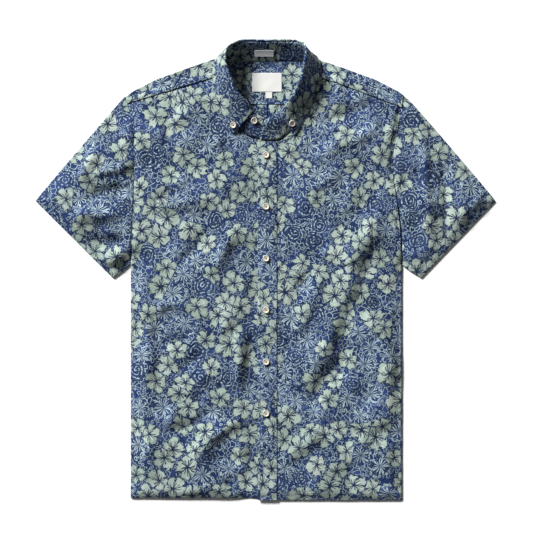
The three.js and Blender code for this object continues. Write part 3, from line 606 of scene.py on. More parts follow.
class Sleeve:
    """A flattened tube from the armhole to the cuff. t runs out to the cuff, and share runs from
    the underarm to the fold along the shoulder."""

    def __init__(self, side):
        self.side = side
        self.sign = 1 if side == "left" else -1
        self.fold = Curve(SLEEVE_FOLD[side])
        self.underarm = Curve(UNDERARM[side])
        self.cuff = self.underarm.at_length(1), self.fold.at_length(1)
        self.armpit, self.shoulder = armhole[side].at_length(0), armhole[side].at_length(1)
        self.long = 172

    def plan(self, share, t):
        share, t = np.broadcast_arrays(np.asarray(share, float), np.asarray(t, float))
        s, u = share[..., None], t[..., None]
        on_cuff = lerp(self.cuff[0], self.cuff[1], s)
        ends = lerp(armhole[self.side].at_length(np.clip(share, 0, 1)), on_cuff, u)
        sides = lerp(self.underarm.at_length(t), self.fold.at_length(t), s)
        corners = lerp(lerp(self.armpit, self.shoulder, s), on_cuff, u)
        place = ends + sides - corners
        place[..., 0] += self.sign * SEAM_GAP * (1 - t)
        return place

    def relief(self, place, t):
        from_cuff = (1 - t) * self.long
        from_seam = t * self.long
        waves = rumple(place[..., 0] * 1.1, place[..., 1] * 1.1, 13, 31) * hump(from_seam, 4, 9)
        return hem_relief(from_cuff, CUFF_HEM) + 0.5 * waves - 0.9 * np.exp(-from_cuff / 0.9)

    def upper(self, share, t):
        place = self.plan(share, t)
        round_edges = 1 - 0.08 * (hump(share, 0, 0.08) + hump(share, 1, 0.08))
        top = top_at(place[..., 0], place[..., 1]) * round_edges
        lower = 1 - smoothstep(share, 0.38, 0.6) if self.side == "left" else 0
        top = top - ARM_DIP * (1 + 1.6 * lower) * np.exp(-t * self.long / 7) + self.relief(place, t)
        return np.concatenate([place, np.maximum(top, 2.0)[..., None]], axis=-1)

    def grid(self):
        t = (spaced(self.long, marks=[self.long - CUFF_HEM]) / self.long)[:, None]
        width = np.linalg.norm(self.plan(1, t) - self.plan(0, t), axis=-1)
        near = 4 / width
        inside = np.linspace(0, 1, 76)[None]
        share = lerp(near, 1 - near, inside)
        upper = self.upper(share, np.broadcast_to(t, share.shape))
        lower = upper.copy()
        lower[..., 2] = 0.35 * np.exp(-(1 - t) * self.long / 1.5)
        angles = np.radians([-60, -40, -20, 0, 20, 40, 60])[None]

        def rounded(end, height):
            round_ = height[:, None] / 2
            inward = round_ * (1 - np.cos(angles)) / width
            at = 1 - inward if end else inward
            place = self.plan(at, np.broadcast_to(t, at.shape))
            return np.dstack([place, round_ + round_ * np.sin(angles)])

        at_fold = rounded(1, upper[:, -1, 2])
        at_underarm = rounded(0, upper[:, 0, 2])
        grid = np.concatenate([lower, at_fold, upper[:, ::-1], at_underarm[:, ::-1]], axis=1)
        return grid, self.cut(grid, lower.shape[1] + 4)

    def cut(self, grid, at_fold):
        """The tube opened along the underarm: the lower layer is turned over the fold."""
        along = (self.cuff[1] - self.shoulder) / np.linalg.norm(self.cuff[1] - self.shoulder)
        inward = np.array([-along[1], along[0]]) * -self.sign
        closed = np.concatenate([grid, grid[:, :1]], axis=1)
        place = closed[..., :2] - self.shoulder
        across = place @ inward + 8
        across[:, :at_fold] *= -1
        return np.dstack([across, place @ along])


def shoulder_y(x):
    reach, y = zip(*SHOULDER)
    return np.interp(np.abs(x), reach, y)


def yoke_front_y(x, side):
    neck_x, neck_y = NECKLINE[side][-1]
    arm_x, arm_y = armhole[side].at_length(YOKE_SHARE[side])
    return lerp(neck_y, arm_y, (x - neck_x) / (arm_x - neck_x)) + SEAM_GAP


def yoke_grid(side):
    """Half of the yoke from the neck to the armhole, bent over the shoulder fold."""
    neck_x = NECKLINE[side][-1][0]
    arm = armhole[side].at_length(np.array([YOKE_SHARE[side] * 12 / 13, YOKE_SHARE[side], 1]))
    under = np.linspace(0, 1, 16)
    over = np.concatenate([np.linspace(0, 0.92, 18), [0.95, 0.985, 1]])

    def section(x):
        fold, front = shoulder_y(x), yoke_front_y(x, side)
        round_ = top_at(x, fold - 6) / 2
        angles = np.radians(np.linspace(-90, 90, YOKE_TURNS + 2))[1:-1]
        under_y = lerp(BACK_SEAM_Y + SEAM_GAP / 2, (fold - round_)[..., None], under)
        turn_y = (fold - round_)[..., None] + round_[..., None] * np.cos(angles)
        turn_z = round_[..., None] * (1 + np.sin(angles))
        over_y = lerp((fold - round_)[..., None], front[..., None], over)
        over_z = top_at(np.broadcast_to(x[..., None], over_y.shape), over_y)
        over_z = lerp(2 * round_[..., None], over_z, smoothstep(over, 0, 0.2))
        lap = over_y - front[..., None]
        over_z = over_z + YOKE_LAP * (1 - smoothstep(lap, 5, 11))
        over_z = stitched_edge(over_z, lap, (0.6, 0.5), (0.3, 1.8, 1.1))
        return (
            np.concatenate([under_y, turn_y, over_y], axis=-1),
            np.concatenate([0 * under_y, turn_z, over_z], axis=-1),
        )

    columns = spaced(158) / 158
    count = len(under) + YOKE_TURNS + len(over)
    outer = np.full(count, arm[1, 0])
    for _ in range(6):
        y, _z = section(outer)
        outer = np.interp(y[np.arange(count), np.arange(count)], arm[:, 1], arm[:, 0])
    x = lerp(neck_x, outer[None], columns[:, None])
    grid = np.zeros((len(columns), count, 3))
    for k in range(count):
        y, z = section(x[:, k])
        grid[:, k] = np.stack([x[:, k], y[:, k], z[:, k]], axis=1)
    grid = grid.transpose(1, 0, 2)
    along = run_along(grid)
    fold_row = len(under) + YOKE_TURNS // 2
    return grid, np.dstack([grid[..., 0], along[fold_row] - along])


def yoke_middle():
    x = np.linspace(NECKLINE["right"][-1][0], NECKLINE["left"][-1][0], 52)
    y = BACK_SEAM_Y + spaced(BACK_NECK_Y - BACK_SEAM_Y)
    x, y = np.meshgrid(x, y)
    z = CLOTH + 0.25 * rumple(x, y, 24, 41) * smoothstep(y, 285, 300)
    z = z + BACK_LAP * np.exp(-(y - BACK_SEAM_Y) / 4.5)
    return np.dstack([x, y, z]), np.dstack([x, y])


def back_grid():
    """The back lies flat, with a box pleat three deep at the middle."""
    bend, slit, low = PLEAT_BEND, PLEAT_SLIT, BACK_CLOTH / 2
    middle, high = low + 2 * bend, low + 4 * bend
    diagonal = bend * math.sqrt(0.5)
    top = BACK_SEAM_Y - SEAM_GAP / 2
    rows, cuts = [], []
    shares = [*np.linspace(0, 0.985, 60), 0.992, 0.996, 0.998, 1]
    right_arm, left_arm = (armhole[s].at_length(np.linspace(0, 1, 200)) for s in ("right", "left"))
    for share in shares:
        y = lerp(HEM_Y["back"], top, share)
        from_x = np.interp(y, right_arm[:, 1], right_arm[:, 0])
        to_x = np.interp(y, left_arm[:, 1], left_arm[:, 0])
        half = lerp(PLEAT_AT_HEM, PLEAT_AT_YOKE, share)
        path = [
            (half * 0.5, low), (half - bend, low), (half - bend + diagonal, low + bend - diagonal),
            (half, low + bend), (half - bend + diagonal, middle - bend + diagonal),
            (half - bend, middle), (slit + bend, middle),
            (slit + bend - diagonal, middle + bend - diagonal), (slit, middle + bend),
            (slit + bend - diagonal, high - bend + diagonal), (slit + bend, high),
            (half + PLEAT_RUN * 0.06, high), (half + PLEAT_RUN * 0.3, lerp(low, high, 0.6)),
            (half + PLEAT_RUN * 0.7, lerp(low, high, 0.12)), (half + PLEAT_RUN, low),
        ]
        left = [(PLEAT_MIDDLE_X + x, z) for x, z in path]
        right = [(PLEAT_MIDDLE_X - x, z) for x, z in reversed(path)]
        out_right = [(x, low) for x in np.linspace(from_x, right[0][0], 34)[:-1]]
        out_left = [(x, low) for x in np.linspace(left[-1][0], to_x, 34)[1:]]
        section = np.array(out_right + right + left + out_left)
        run = run_along(section)
        pressed = 1 - PLEAT_PRESS * math.exp((y - top) / 2)
        ys = np.full(len(section), y)
        rows.append(np.column_stack([section[:, 0], ys, section[:, 1] * pressed]))
        cuts.append(np.column_stack([run - run[len(run) // 2], ys]))
    return np.array(rows), np.array(cuts)


seam_curve = Curve([row.seam for row in COLLAR])
fold_curve = Curve([row.fold for row in COLLAR])
edge_curve = Curve([row.edge for row in COLLAR])


def collar_columns(place):
    t = place / (len(COLLAR) - 1)
    lie = np.interp(place, range(len(COLLAR)), [row.lie for row in COLLAR])
    lift = np.interp(place, range(len(COLLAR)), [row.lift for row in COLLAR])
    return seam_curve.at(t), fold_curve.at(t), edge_curve.at(t), lie[:, None], lift[:, None]


def stand_grid(place):
    seam, fold, _edge, _lie, _lift = collar_columns(place)
    share = np.linspace(0, 1, 13)
    grid = lerp(seam[:, None], fold[:, None], share[None, :, None])
    grid[..., 2] -= STAND_SAG * np.sin(np.pi * share) ** 2
    at_front = 1 - smoothstep(fold[:, 1], 262, 300)
    grid[..., 2] += BAND_BULGE * at_front[:, None] * share**2 * (1 - share)
    return grid


def fall_grid(place):
    """The fall starts where the stand ends, rolls over and comes down to its edge."""
    seam, fold, edge, lie, lift = collar_columns(place)
    unit = lambda v: v / np.linalg.norm(v, axis=-1, keepdims=True)
    rise = unit(fold - seam)
    outward = normals_of(stand_grid(place))[:, -1]
    start = fold + rise * FALL_GAP
    inward = (fold - edge) * [1, 1, 0]
    resting = edge + unit(inward) * lie
    resting[:, 2:] += lift
    turned = start + rise * ROLL + outward * ROLL_OUT
    turned[:, 2] += ROLL_RISE
    s = np.concatenate([np.linspace(0, 0.97, 26), [0.985, 1]])[None, :, None]
    control = [p[:, None] for p in (start, turned, resting, edge)]
    blend = [(1 - s) ** 3, 3 * (1 - s) ** 2 * s, 3 * (1 - s) * s**2, s**3]
    grid = sum(b * p for b, p in zip(blend, control))
    grid[..., 2] = np.maximum(grid[..., 2], CLOTH / 2)
    return grid


def cut_by_length(grid):
    """A grid laid flat: the length along its middle column, and the length along each row."""
    along = run_along(grid[:, grid.shape[1] // 2])[:, None]
    across = run_along(grid, 1)
    return np.dstack([np.broadcast_to(along, across.shape), across])


FROM_MIDDLE = spaced(20, 1) / 20 - 0.5


def label_grid(x, y, wide, deep):
    x, y = np.meshgrid(x + wide * FROM_MIDDLE, y + deep * FROM_MIDDLE)
    return np.dstack([x, y, LABEL_HIGH + 0.25 * rumple(x, y, 14, 51)])


def tag_grid(stand, x, y, wide, deep):
    """A tag that follows the stand's inside at the back of the neck."""
    back = stand[(stand[:, 0, 1] > 350) & (np.abs(stand[:, 0, 0]) < 60)].swapaxes(0, 1)
    up = y + deep * FROM_MIDDLE
    columns = []
    for at in x + wide * FROM_MIDDLE:
        section = np.array([[np.interp(at, row[:, 0], row[:, a]) for a in (1, 2)] for row in back])
        columns.append(np.stack([np.full_like(up, at), up, np.interp(up, *section.T)], axis=1))
    grid = np.array(columns).swapaxes(0, 1)
    return grid + normals_of(grid) * TAG_LIFT


# ---- Sewing and buttons ----


def stitches(name, paths, pitch=STITCH_PITCH, long=STITCH_LONG, wide=STITCH_WIDE):
    """Rows of stitches as one mesh, each a small spindle of thread along its path."""
    ring = np.array([(math.cos(a), math.sin(a)) for a in np.radians([45, 135, 225, 315])])
    points, faces = [], []
    for path in paths:
        run = run_along(path)
        middles = np.arange(pitch / 2, run[-1], pitch)
        sample = lambda at: np.stack([np.interp(at, run, path[:, k]) for k in range(3)], axis=1)
        tail, head = sample(middles - long / 2), sample(middles + long / 2)
        along = head - tail
        along /= np.linalg.norm(along, axis=1, keepdims=True)
        side = np.cross(along, [0.0, 0.0, 1.0])
        side /= np.maximum(np.linalg.norm(side, axis=1, keepdims=True), 1e-6)
        up = np.cross(side, along)
        for k in range(len(middles)):
            base = len(points)
            points.append(tail[k] - up[k] * wide * 0.3)
            for share in (0.2, 0.8):
                centre = lerp(tail[k], head[k], share)
                points += [centre + wide / 2 * (side[k] * a + up[k] * b) for a, b in ring]
            points.append(head[k] - up[k] * wide * 0.3)
            for n in range(4):
                a, b = base + 1 + n, base + 1 + (n + 1) % 4
                faces += [(base, b, a), (a, b, b + 4, a + 4), (a + 4, b + 4, base + 9)]
    piece = new_piece(name, points, faces)
    piece.data.materials.append(materials["thread"])
    dress(piece, "printed_cotton")


def over(height, xs, ys, lift=THREAD_LIFT):
    """A path at plan points over a height, just proud of the cloth."""
    xs, ys = np.broadcast_arrays(np.asarray(xs, float), np.asarray(ys, float))
    return np.stack([xs, ys, height(xs, ys) + lift], axis=1)


def from_grid(grid, row, column, lift):
    """A path along fractional rows and columns of a grid, moved out along its normals."""
    row, column = np.broadcast_arrays(np.asarray(row, float), np.asarray(column, float))
    lifted = grid + normals_of(grid) * lift
    i = np.clip(np.floor(row).astype(int), 0, grid.shape[0] - 2)
    j = np.clip(np.floor(column).astype(int), 0, grid.shape[1] - 2)
    s, t = (row - i)[:, None], (column - j)[:, None]
    return between(lambda a, b: lifted[a, b], i, j, s, t)


def from_edge(grid, away):
    """The fractional column that far from the last one, on every row."""
    left = run_along(grid[:, ::-1], 1)[:, ::-1]
    return np.array([np.interp(-away, -row, np.arange(len(row))) for row in left])


def tube_faces(base, rings, around):
    """The faces between rings of points, each with that many points around."""
    faces = []
    for start in range(base, base + (rings - 1) * around, around):
        for n in range(around):
            a, b = start + n, start + (n + 1) % around
            faces.append((a, b, b + around, a + around))
    return faces


def button(node, normal=(0, 0, 1), lift=0):
    """A button with a raised rim, four holes drawn as near-black discs of painted shade, and
    crossed thread, where its solid stands.
    """
    low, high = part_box(node)
    centre = (Vector(low) + Vector(high)) / 2
    points, faces, kinds = [], [], []
    for radius, height in BUTTON_RIM:
        for turn in range(BUTTON_TURNS):
            angle = 2 * math.pi * turn / BUTTON_TURNS
            points.append((radius * math.cos(angle), radius * math.sin(angle), height))
    faces += tube_faces(0, len(BUTTON_RIM), BUTTON_TURNS)
    kinds += [0] * len(faces)
    # Each hole is a flat near-black disc just above the dished middle: painted shade, not a hole
    # cut through
    for turn in range(4):
        angle = math.pi / 4 + turn * math.pi / 2
        base = len(points)
        x, y = HOLE_FROM_MIDDLE * math.cos(angle), HOLE_FROM_MIDDLE * math.sin(angle)
        for a in np.radians(range(0, 360, 30)):
            points.append((x + HOLE_R * math.cos(a), y + HOLE_R * math.sin(a), HOLE_HIGH))
        points.append((x, y, BUTTON_RIM[-1][1]))
        faces += [(base + n, base + (n + 1) % 12, base + 12) for n in range(12)]
        kinds += [1] * 12
    for turn in (0, 1):
        angle = math.pi / 4 + turn * math.pi / 2
        along, side = (math.cos(angle), math.sin(angle)), (-math.sin(angle), math.cos(angle))
        base = len(points)
        for share in np.linspace(-1, 1, THREAD_RINGS):
            arch = 1.55 + 0.55 * (1 - share**2) + 0.12 * turn
            for a in np.radians(range(0, 360, 60)):
                s, u = 0.42 * math.cos(a), 0.32 * math.sin(a)
                x = THREAD_REACH * share * along[0] + s * side[0]
                y = THREAD_REACH * share * along[1] + s * side[1]
                points.append((x, y, arch + u))
        added = tube_faces(base, THREAD_RINGS, 6)
        faces += added
        kinds += [2] * len(added)
    piece = new_piece("shown_" + node, points, faces)
    piece.data.polygons.foreach_set("material_index", kinds)
    for name in ("pearl_button", "hole_shade_disc", "button_thread"):
        piece.data.materials.append(materials[name])
    turn = Vector(normal).normalized().to_track_quat("Z", "Y").to_matrix().to_4x4()
    raised = Matrix.Translation((0, 0, (lift - BUTTON_THICK / 2) * MM))
    piece.data.transform(Matrix.Translation(centre) @ turn @ raised)
    dress(piece, "pearl_button", node)


def sew_on(node, grid, thickness):
    """Seat a button on the cloth below it."""
    low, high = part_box(node)
    centre = np.array((Vector(low) + Vector(high)) / 2) / MM
    off = grid - centre
    away = np.linalg.norm(off[..., :2], axis=-1) + 0.2 * np.abs(off[..., 2])
    at = np.unravel_index(np.argmin(away), away.shape)
    normal = normals_of(grid)[at]
    normal = normal * (1 if normal[2] > 0 else -1)
    button(node, normal, (grid[at] - centre) @ normal + thickness / 2 + 0.2 + BUTTON_THICK / 2)


# ---- Materials ----


def feed(tree, place, value):
    """Link a node's input to an ink, or set it to a number or a colour."""
    if isinstance(value, Ink):
        tree.links.new(value.socket, place)
    else:
        place.default_value = (*value, 1.0) if isinstance(value, tuple) else value


class Ink:
    """A number over the cloth, worked out by a material's nodes."""

    def __init__(self, tree, socket):
        self.tree, self.socket = tree, socket

    def math(self, operation, *others):
        node = self.tree.nodes.new("ShaderNodeMath")
        node.operation = operation
        for place, value in zip(node.inputs, (self, *others)):
            feed(self.tree, place, value)
        return Ink(self.tree, node.outputs[0])

    def __add__(self, other):
        return self.math("ADD", other)

    def __sub__(self, other):
        return self.math("SUBTRACT", other)

    def __mul__(self, other):
        return self.math("MULTIPLY", other)

    def __truediv__(self, other):
        return self.math("DIVIDE", other)

    def __rsub__(self, other):
        return (self * -1) + other

    def step(self, low, high):
        """0 below low and 1 above high, or the other way round where high is the lower."""
        node = self.tree.nodes.new("ShaderNodeMapRange")
        node.interpolation_type = "SMOOTHSTEP"
        ends = (1.0, 0.0) if low > high else (0.0, 1.0)
        values = (self, *sorted((low, high)), *ends)
        for name, value in zip(("Value", "From Min", "From Max", "To Min", "To Max"), values):
            feed(self.tree, node.inputs[name], value)
        return Ink(self.tree, node.outputs["Result"])


class Sheet:
    """A material, with textures and colours over the cloth as it was cut."""

    def __init__(self, name):
        self.material = bpy.data.materials.new(name)
        self.material.use_nodes = True
        self.tree = self.material.node_tree

    def node(self, kind, inputs=None, **settings):
        node = self.tree.nodes.new(kind)
        for key, value in settings.items():
            setattr(node, key, value)
        for key, value in (inputs or {}).items():
            feed(self.tree, node.inputs[key], value)
        return node

    def out(self, node, name):
        return Ink(self.tree, node.outputs[name])

    def place(self):
        uv = self.node("ShaderNodeUVMap", uv_map="cut")
        return self.split(self.out(uv, "UV"))[:2]

    def point(self, x, y):
        return self.out(self.node("ShaderNodeCombineXYZ", {"X": x, "Y": y}), "Vector")

    def split(self, vector):
        parts = self.node("ShaderNodeSeparateXYZ", {"Vector": vector})
        return [self.out(parts, axis) for axis in "XYZ"]

    def noise(self, x, y, scale, detail=1.0, rough=0.5):
        node = self.node(
            "ShaderNodeTexNoise",
            {"Vector": self.point(x, y), "Scale": scale, "Detail": detail, "Roughness": rough},
            noise_dimensions="2D",
        )
        return self.out(node, "Fac"), self.out(node, "Color")

    def cells(self, x, y, scattered, feature="F1"):
        return self.node(
            "ShaderNodeTexVoronoi",
            {"Vector": self.point(x, y), "Scale": 1.0, "Randomness": scattered},
            voronoi_dimensions="2D",
            feature=feature,
        )

    def mix(self, share, below, above):
        node = self.node("ShaderNodeMix", {0: share, 6: below, 7: above}, data_type="RGBA")
        return self.out(node, 2)

    def fibre_noise(self, scale, **settings):
        """A solid noise through the piece, for what isn't cut from cloth."""
        where = self.out(self.node("ShaderNodeNewGeometry"), "Position")
        inputs = {"Vector": where, "Scale": scale, "Detail": 3.0, **settings}
        return self.out(self.node("ShaderNodeTexNoise", inputs), "Fac")

    def surface(self, inputs):
        """Feed the shader, and give the material."""
        for name, value in inputs.items():
            feed(self.tree, self.tree.nodes["Principled BSDF"].inputs[name], value)
        return self.material

    def rough_surface(self, colour, relief, bump, grain, rough, inputs):
        """Feed the shader a bumped and uneven surface.

        bump is the relief's strength and depth, and rough is the roughness's range over the grain.
        """
        bump_inputs = dict(zip(("Height", "Strength", "Distance"), (relief, *bump)))
        rough_inputs = dict(zip(("Value", "To Min", "To Max"), (grain, *rough)))
        normal = self.out(self.node("ShaderNodeBump", bump_inputs), "Normal")
        varied = self.out(self.node("ShaderNodeMapRange", rough_inputs), "Result")
        return self.surface({"Base Color": colour, "Normal": normal, "Roughness": varied, **inputs})


# The print's colours, and its sizes in metres or in shares of a cell
GROUND = (0.010, 0.027, 0.094)
GROUND_LIT = (0.027, 0.056, 0.180)
NAVY = (0.0038, 0.0112, 0.043)
SAGE = (0.285, 0.362, 0.315)
SAGE_LIT = (0.410, 0.495, 0.446)
LINE = (0.400, 0.515, 0.545)
CELL = 0.036
FLOWER_CHANCE = 0.56
SCATTER = 0.55
SMALL_CELLS = 5.0
SMALL_SCATTER = 0.9
YARN_SCALE = 2600.0
YARN_DRAWN = 0.09
WARP_PITCH = 0.00052
WEFT_PITCH = 0.00058
RIB_PITCH = 0.0007


def polar(sheet, x, y, cell, turn_by):
    """Distance and turn from the middle of each cell."""
    at_x, at_y, _z = sheet.split(sheet.out(cell, "Position"))
    dx, dy = x - at_x, y - at_y
    away = (dx * dx + dy * dy).math("SQRT")
    turn = dy.math("ARCTAN2", dx) / (2 * math.pi) + turn_by
    return away, turn, at_x, at_y


def from_half(value, times):
    """How far a value is from the middle of the step that it is in, with that many steps to 1."""
    return (value * times).math("FRACT") - 0.5


def petals(away, turn, count, radius, frill):
    """Below 1 inside a petal. The petals are blunt, and part towards their ends."""
    angle = from_half(turn, count) * (2 * math.pi / count)
    along = away * angle.math("COSINE") / radius
    across = away * angle.math("SINE") / radius
    long = ((along - 0.54) / 0.46).math("ABSOLUTE").math("POWER", 3.4)
    width = along * 0.965 - along * along * 0.52 - 0.06
    wide = (across / width).math("ABSOLUTE").math("POWER", 2.5)
    return long + wide + frill


def rays(turn, count, half):
    """1 on thin rays from a flower's middle."""
    return from_half(turn, count).math("ABSOLUTE").step(half + 0.06, half - 0.06)


def contour(value, half):
    """1 on thin lines along which a value stays the same."""
    return (value.math("FRACT") - 0.5).math("ABSOLUTE").step(half * 1.3, half * 0.7)


def printed_cotton():
    sheet = Sheet("printed_cotton")
    u, v = sheet.place()
    x, y = u / CELL, v / CELL
    x, y = x * 0.88 - y * 0.47, x * 0.47 + y * 0.88
    _f, bend = sheet.noise(x, y, 1.1, 2.0)
    bend_x, bend_y, _z = sheet.split(bend)
    x, y = x + (bend_x - 0.5) * 0.4, y + (bend_y - 0.5) * 0.4
    fine, fine_colour = sheet.noise(x, y, 8.5, 2.0, 0.6)
    broken, _g, _b = sheet.split(fine_colour)
    frill = (fine - 0.5) * 5.4

    # Large flowers, filled in or in outline, and roses of thin curved lines
    cell = sheet.cells(x, y, SCATTER)
    chance, girth, spin = sheet.split(sheet.out(cell, "Color"))
    away, turn, at_x, at_y = polar(sheet, x, y, cell, spin)
    clump, _c = sheet.noise(at_x, at_y, 0.6, 1.0)
    border = sheet.out(sheet.cells(x, y, SCATTER, "DISTANCE_TO_EDGE"), "Distance")
    inside = border.step(0.012, 0.035)
    is_filled = (chance + (clump - 0.5) * 1.3).math("GREATER_THAN", 1 - FLOWER_CHANCE)
    is_rose = (chance * 9.0).math("FRACT").math("GREATER_THAN", 0.6)
    radius = girth * girth * 0.15 + 0.445
    ratio = away / radius
    petal = petals(away, turn, 5, radius, frill * ratio * ratio)
    body = petal.step(1.15, 0.95) * inside
    halo = petal.step(3.2, 1.3) * inside
    stroke_at = from_half(turn, 10).math("ABSOLUTE")
    strokes = (stroke_at + ratio * 0.36 + frill * 0.03 - 0.31).step(0.05, -0.05)
    strokes = strokes * ratio.step(0.68, 0.52)
    heart = (ratio + frill * 0.04).step(0.21, 0.13)
    outline = (petal - 1.05).math("ABSOLUTE").step(0.3, 0.2)
    stamens = rays(turn, 14, 0.15) * ratio.step(0.16, 0.22)
    stamens = stamens * (ratio + (broken - 0.5) * 1.1).step(0.66, 0.6)
    curl = ratio * 3.4 + turn + frill * 0.19
    rose = contour(curl, 0.12) * (ratio + frill * 0.1).step(1.15, 1.0)
    rose = rose * broken.step(0.47, 0.52)

    # Filler between them: small rings and blossoms, and winding lines
    fine_x, fine_y = x * SMALL_CELLS, y * SMALL_CELLS
    small = sheet.cells(fine_x, fine_y, SMALL_SCATTER)
    small_chance, small_girth, small_spin = sheet.split(sheet.out(small, "Color"))
    near, small_turn, _x, _y = polar(sheet, fine_x, fine_y, small, small_spin)
    ring = (near - small_girth * 0.16 - 0.2).math("ABSOLUTE").step(0.10, 0.06)
    spokes = rays(small_turn, 6, 0.2) * near.step(0.5, 0.42) * near.step(0.1, 0.16)
    is_ring = small_chance.math("GREATER_THAN", 0.45)
    bits = ring * is_ring + spokes * (1 - is_ring)
    edges = sheet.cells(fine_x, fine_y, SMALL_SCATTER, "DISTANCE_TO_EDGE")
    seam = sheet.out(edges, "Distance")
    net = seam.step(0.085, 0.045)
    patch, _c = sheet.noise(x, y, 1.9, 1.0)
    patch = patch.step(0.47, 0.5)
    filler = bits * patch + net * (1 - patch)
    vein = seam.step(0.26, 0.1) * (1 - patch) + fine.step(0.52, 0.44) * patch

    # Colours, from the ground up
    tone, _c = sheet.noise(x, y, 0.7, 2.0)
    colour = sheet.mix(tone.step(0.35, 0.65), GROUND, GROUND_LIT)
    colour = sheet.mix(vein * 0.8, colour, NAVY)
    drawn = (1 - is_filled) * (rose * is_rose + (1 - is_rose) * outline.math("MAXIMUM", stamens))
    drawn = drawn * inside
    keep_filler = 1 - (1 - is_filled) * (ratio + frill * 0.1).step(0.95, 0.8) * 0.85
    colour = sheet.mix(filler * keep_filler * 0.75, colour, LINE)
    colour = sheet.mix(drawn, colour, LINE)
    colour = sheet.mix(halo * is_filled * 0.9, colour, NAVY)
    sage = sheet.mix((fine + tone - 0.5).step(0.36, 0.66), SAGE, SAGE_LIT)
    colour = sheet.mix(body * is_filled, colour, sage)
    marks = (strokes.math("MAXIMUM", heart) * is_filled) * inside
    colour = sheet.mix(marks * 0.92, colour, NAVY)

    # Yarn: two crossed sets of threads, uneven in thickness
    warp_slub, _c = sheet.noise(u, v * YARN_DRAWN, YARN_SCALE, 2.0)
    weft_slub, _c = sheet.noise(u * YARN_DRAWN, v, YARN_SCALE, 2.0)
    yarn = warp_slub * 0.5 + weft_slub * 0.5
    colour = sheet.mix(yarn.step(0.62, 0.3) * 0.22, colour, NAVY)
    warp = (u * (2 * math.pi / WARP_PITCH)).math("SINE")
    weft = (v * (2 * math.pi / WEFT_PITCH)).math("SINE")
    weave = warp * weft * 0.5 + 0.5
    relief = yarn * 1.4 + weave * 0.35
    soft = {"Sheen Weight": 0.05, "Sheen Roughness": 0.5, "Specular IOR Level": 0.15}
    return sheet.rough_surface(colour, relief, (0.22, 0.0004), yarn, (0.74, 0.92), soft)


def fibre_material(name, dark, light, scale, roughness):
    """Plain twisted fibre, uneven in colour."""
    sheet = Sheet(name)
    grain = sheet.fibre_noise(scale)
    colour = sheet.mix(grain.step(0.3, 0.7), dark, light)
    rough = (roughness - 0.08, roughness + 0.05)
    return sheet.rough_surface(colour, grain, (0.3, 0.0003), grain, rough, {"Sheen Weight": 0.1})


def woven_label(name, dark, light):
    """Satin tape: fine ribs across, and a slightly uneven weft."""
    sheet = Sheet(name)
    u, v = sheet.place()
    ribs = (v * (2 * math.pi / RIB_PITCH)).math("SINE") * 0.5 + 0.5
    slub, _c = sheet.noise(u * 0.2, v, 1500.0, 2.0)
    colour = sheet.mix((ribs * 0.4 + slub * 0.6).step(0.2, 0.75), dark, light)
    soft = {"Sheen Weight": 0.15}
    return sheet.rough_surface(colour, ribs + slub, (0.25, 0.0003), slub, (0.5, 0.7), soft)


def pearl():
    sheet = Sheet("pearl_button")
    grain = sheet.fibre_noise(260.0, Distortion=1.2)
    colour = sheet.mix(grain.step(0.3, 0.7), (0.51, 0.47, 0.385), (0.70, 0.665, 0.565))
    gloss = {"Coat Weight": 0.3}
    return sheet.rough_surface(colour, grain, (0.08, 0.0002), grain, (0.24, 0.4), gloss)


materials = {
    "printed_cotton": printed_cotton(),
    "pearl_button": pearl(),
    "label_white": woven_label("label_white", (0.60, 0.60, 0.58), (0.76, 0.76, 0.73)),
    "tag_grey": woven_label("tag_grey", (0.66, 0.69, 0.71), (0.84, 0.87, 0.89)),
}
for name, dark, light, scale, roughness in (
    ("thread", (0.05, 0.075, 0.17), (0.12, 0.16, 0.28), 1500.0, 0.7),
    ("button_thread", (0.16, 0.11, 0.07), (0.30, 0.23, 0.16), 2500.0, 0.75),
    # The holes' colour is painted shade: near-black, for the depth of a button's hole
    ("hole_shade_disc", (0.03, 0.025, 0.02), (0.07, 0.06, 0.045), 2500.0, 0.8),
):
    materials[name] = fibre_material(name, dark, light, scale, roughness)


# ---- The shirt ----

# Where each sheet's cut lies on the print, in millimetres
CUT_AT = {
    "front_right": (-60, 90),
    "placket": (417, 35),
    "sleeve_left": (700, 0),
    "sleeve_right": (-700, 0),
    "yoke_left": (0, 365),
    "yoke_right": (0, 365),
    "yoke_middle": (0, 20),
    "back": (1300, 0),
    "collar_stand": (20, 505),
    "collar_fall": (55, 655),
}

stitch_paths = []


def show(name, grid, cut, thickness=SHELL, node=None, slot="printed_cotton", **shell):
    """Make a sheet, which stands for the solid of its own name or for the node given."""
    piece = cloth("shown_" + name, grid, cut + CUT_AT.get(name, (0, 0)), thickness, **shell)
    dress(piece, slot, node or name)


def sew(*path, lift=THREAD_LIFT):
    """Stitch along plan points over a height."""
    stitch_paths.append(over(*path, lift))


for side in ("left", "right"):
    show("front_" + side, *front_grid(side), flip=side == "right")
    height = lambda x, y, s=side: front_height(s, x, y)
    hem_from = EDGE_X["left"] if side == "right" else EDGE_X["left"] + PLACKET_WIDE
    hem_x = np.linspace(hem_from, SIDE_X[side] - 5 * np.sign(SIDE_X[side]), 90)
    sew(height, hem_x, HEM_Y[side] + HEM_DEEP, lift=HEM_THREAD_LIFT)

show("placket", *placket_grid(), PLACKET_SHELL)
for inset in (PLACKET_STITCH, PLACKET_WIDE - PLACKET_STITCH):
    sew(placket_height, EDGE_X["left"] + inset, np.linspace(HEM_Y["left"] + 1, 218, 300))

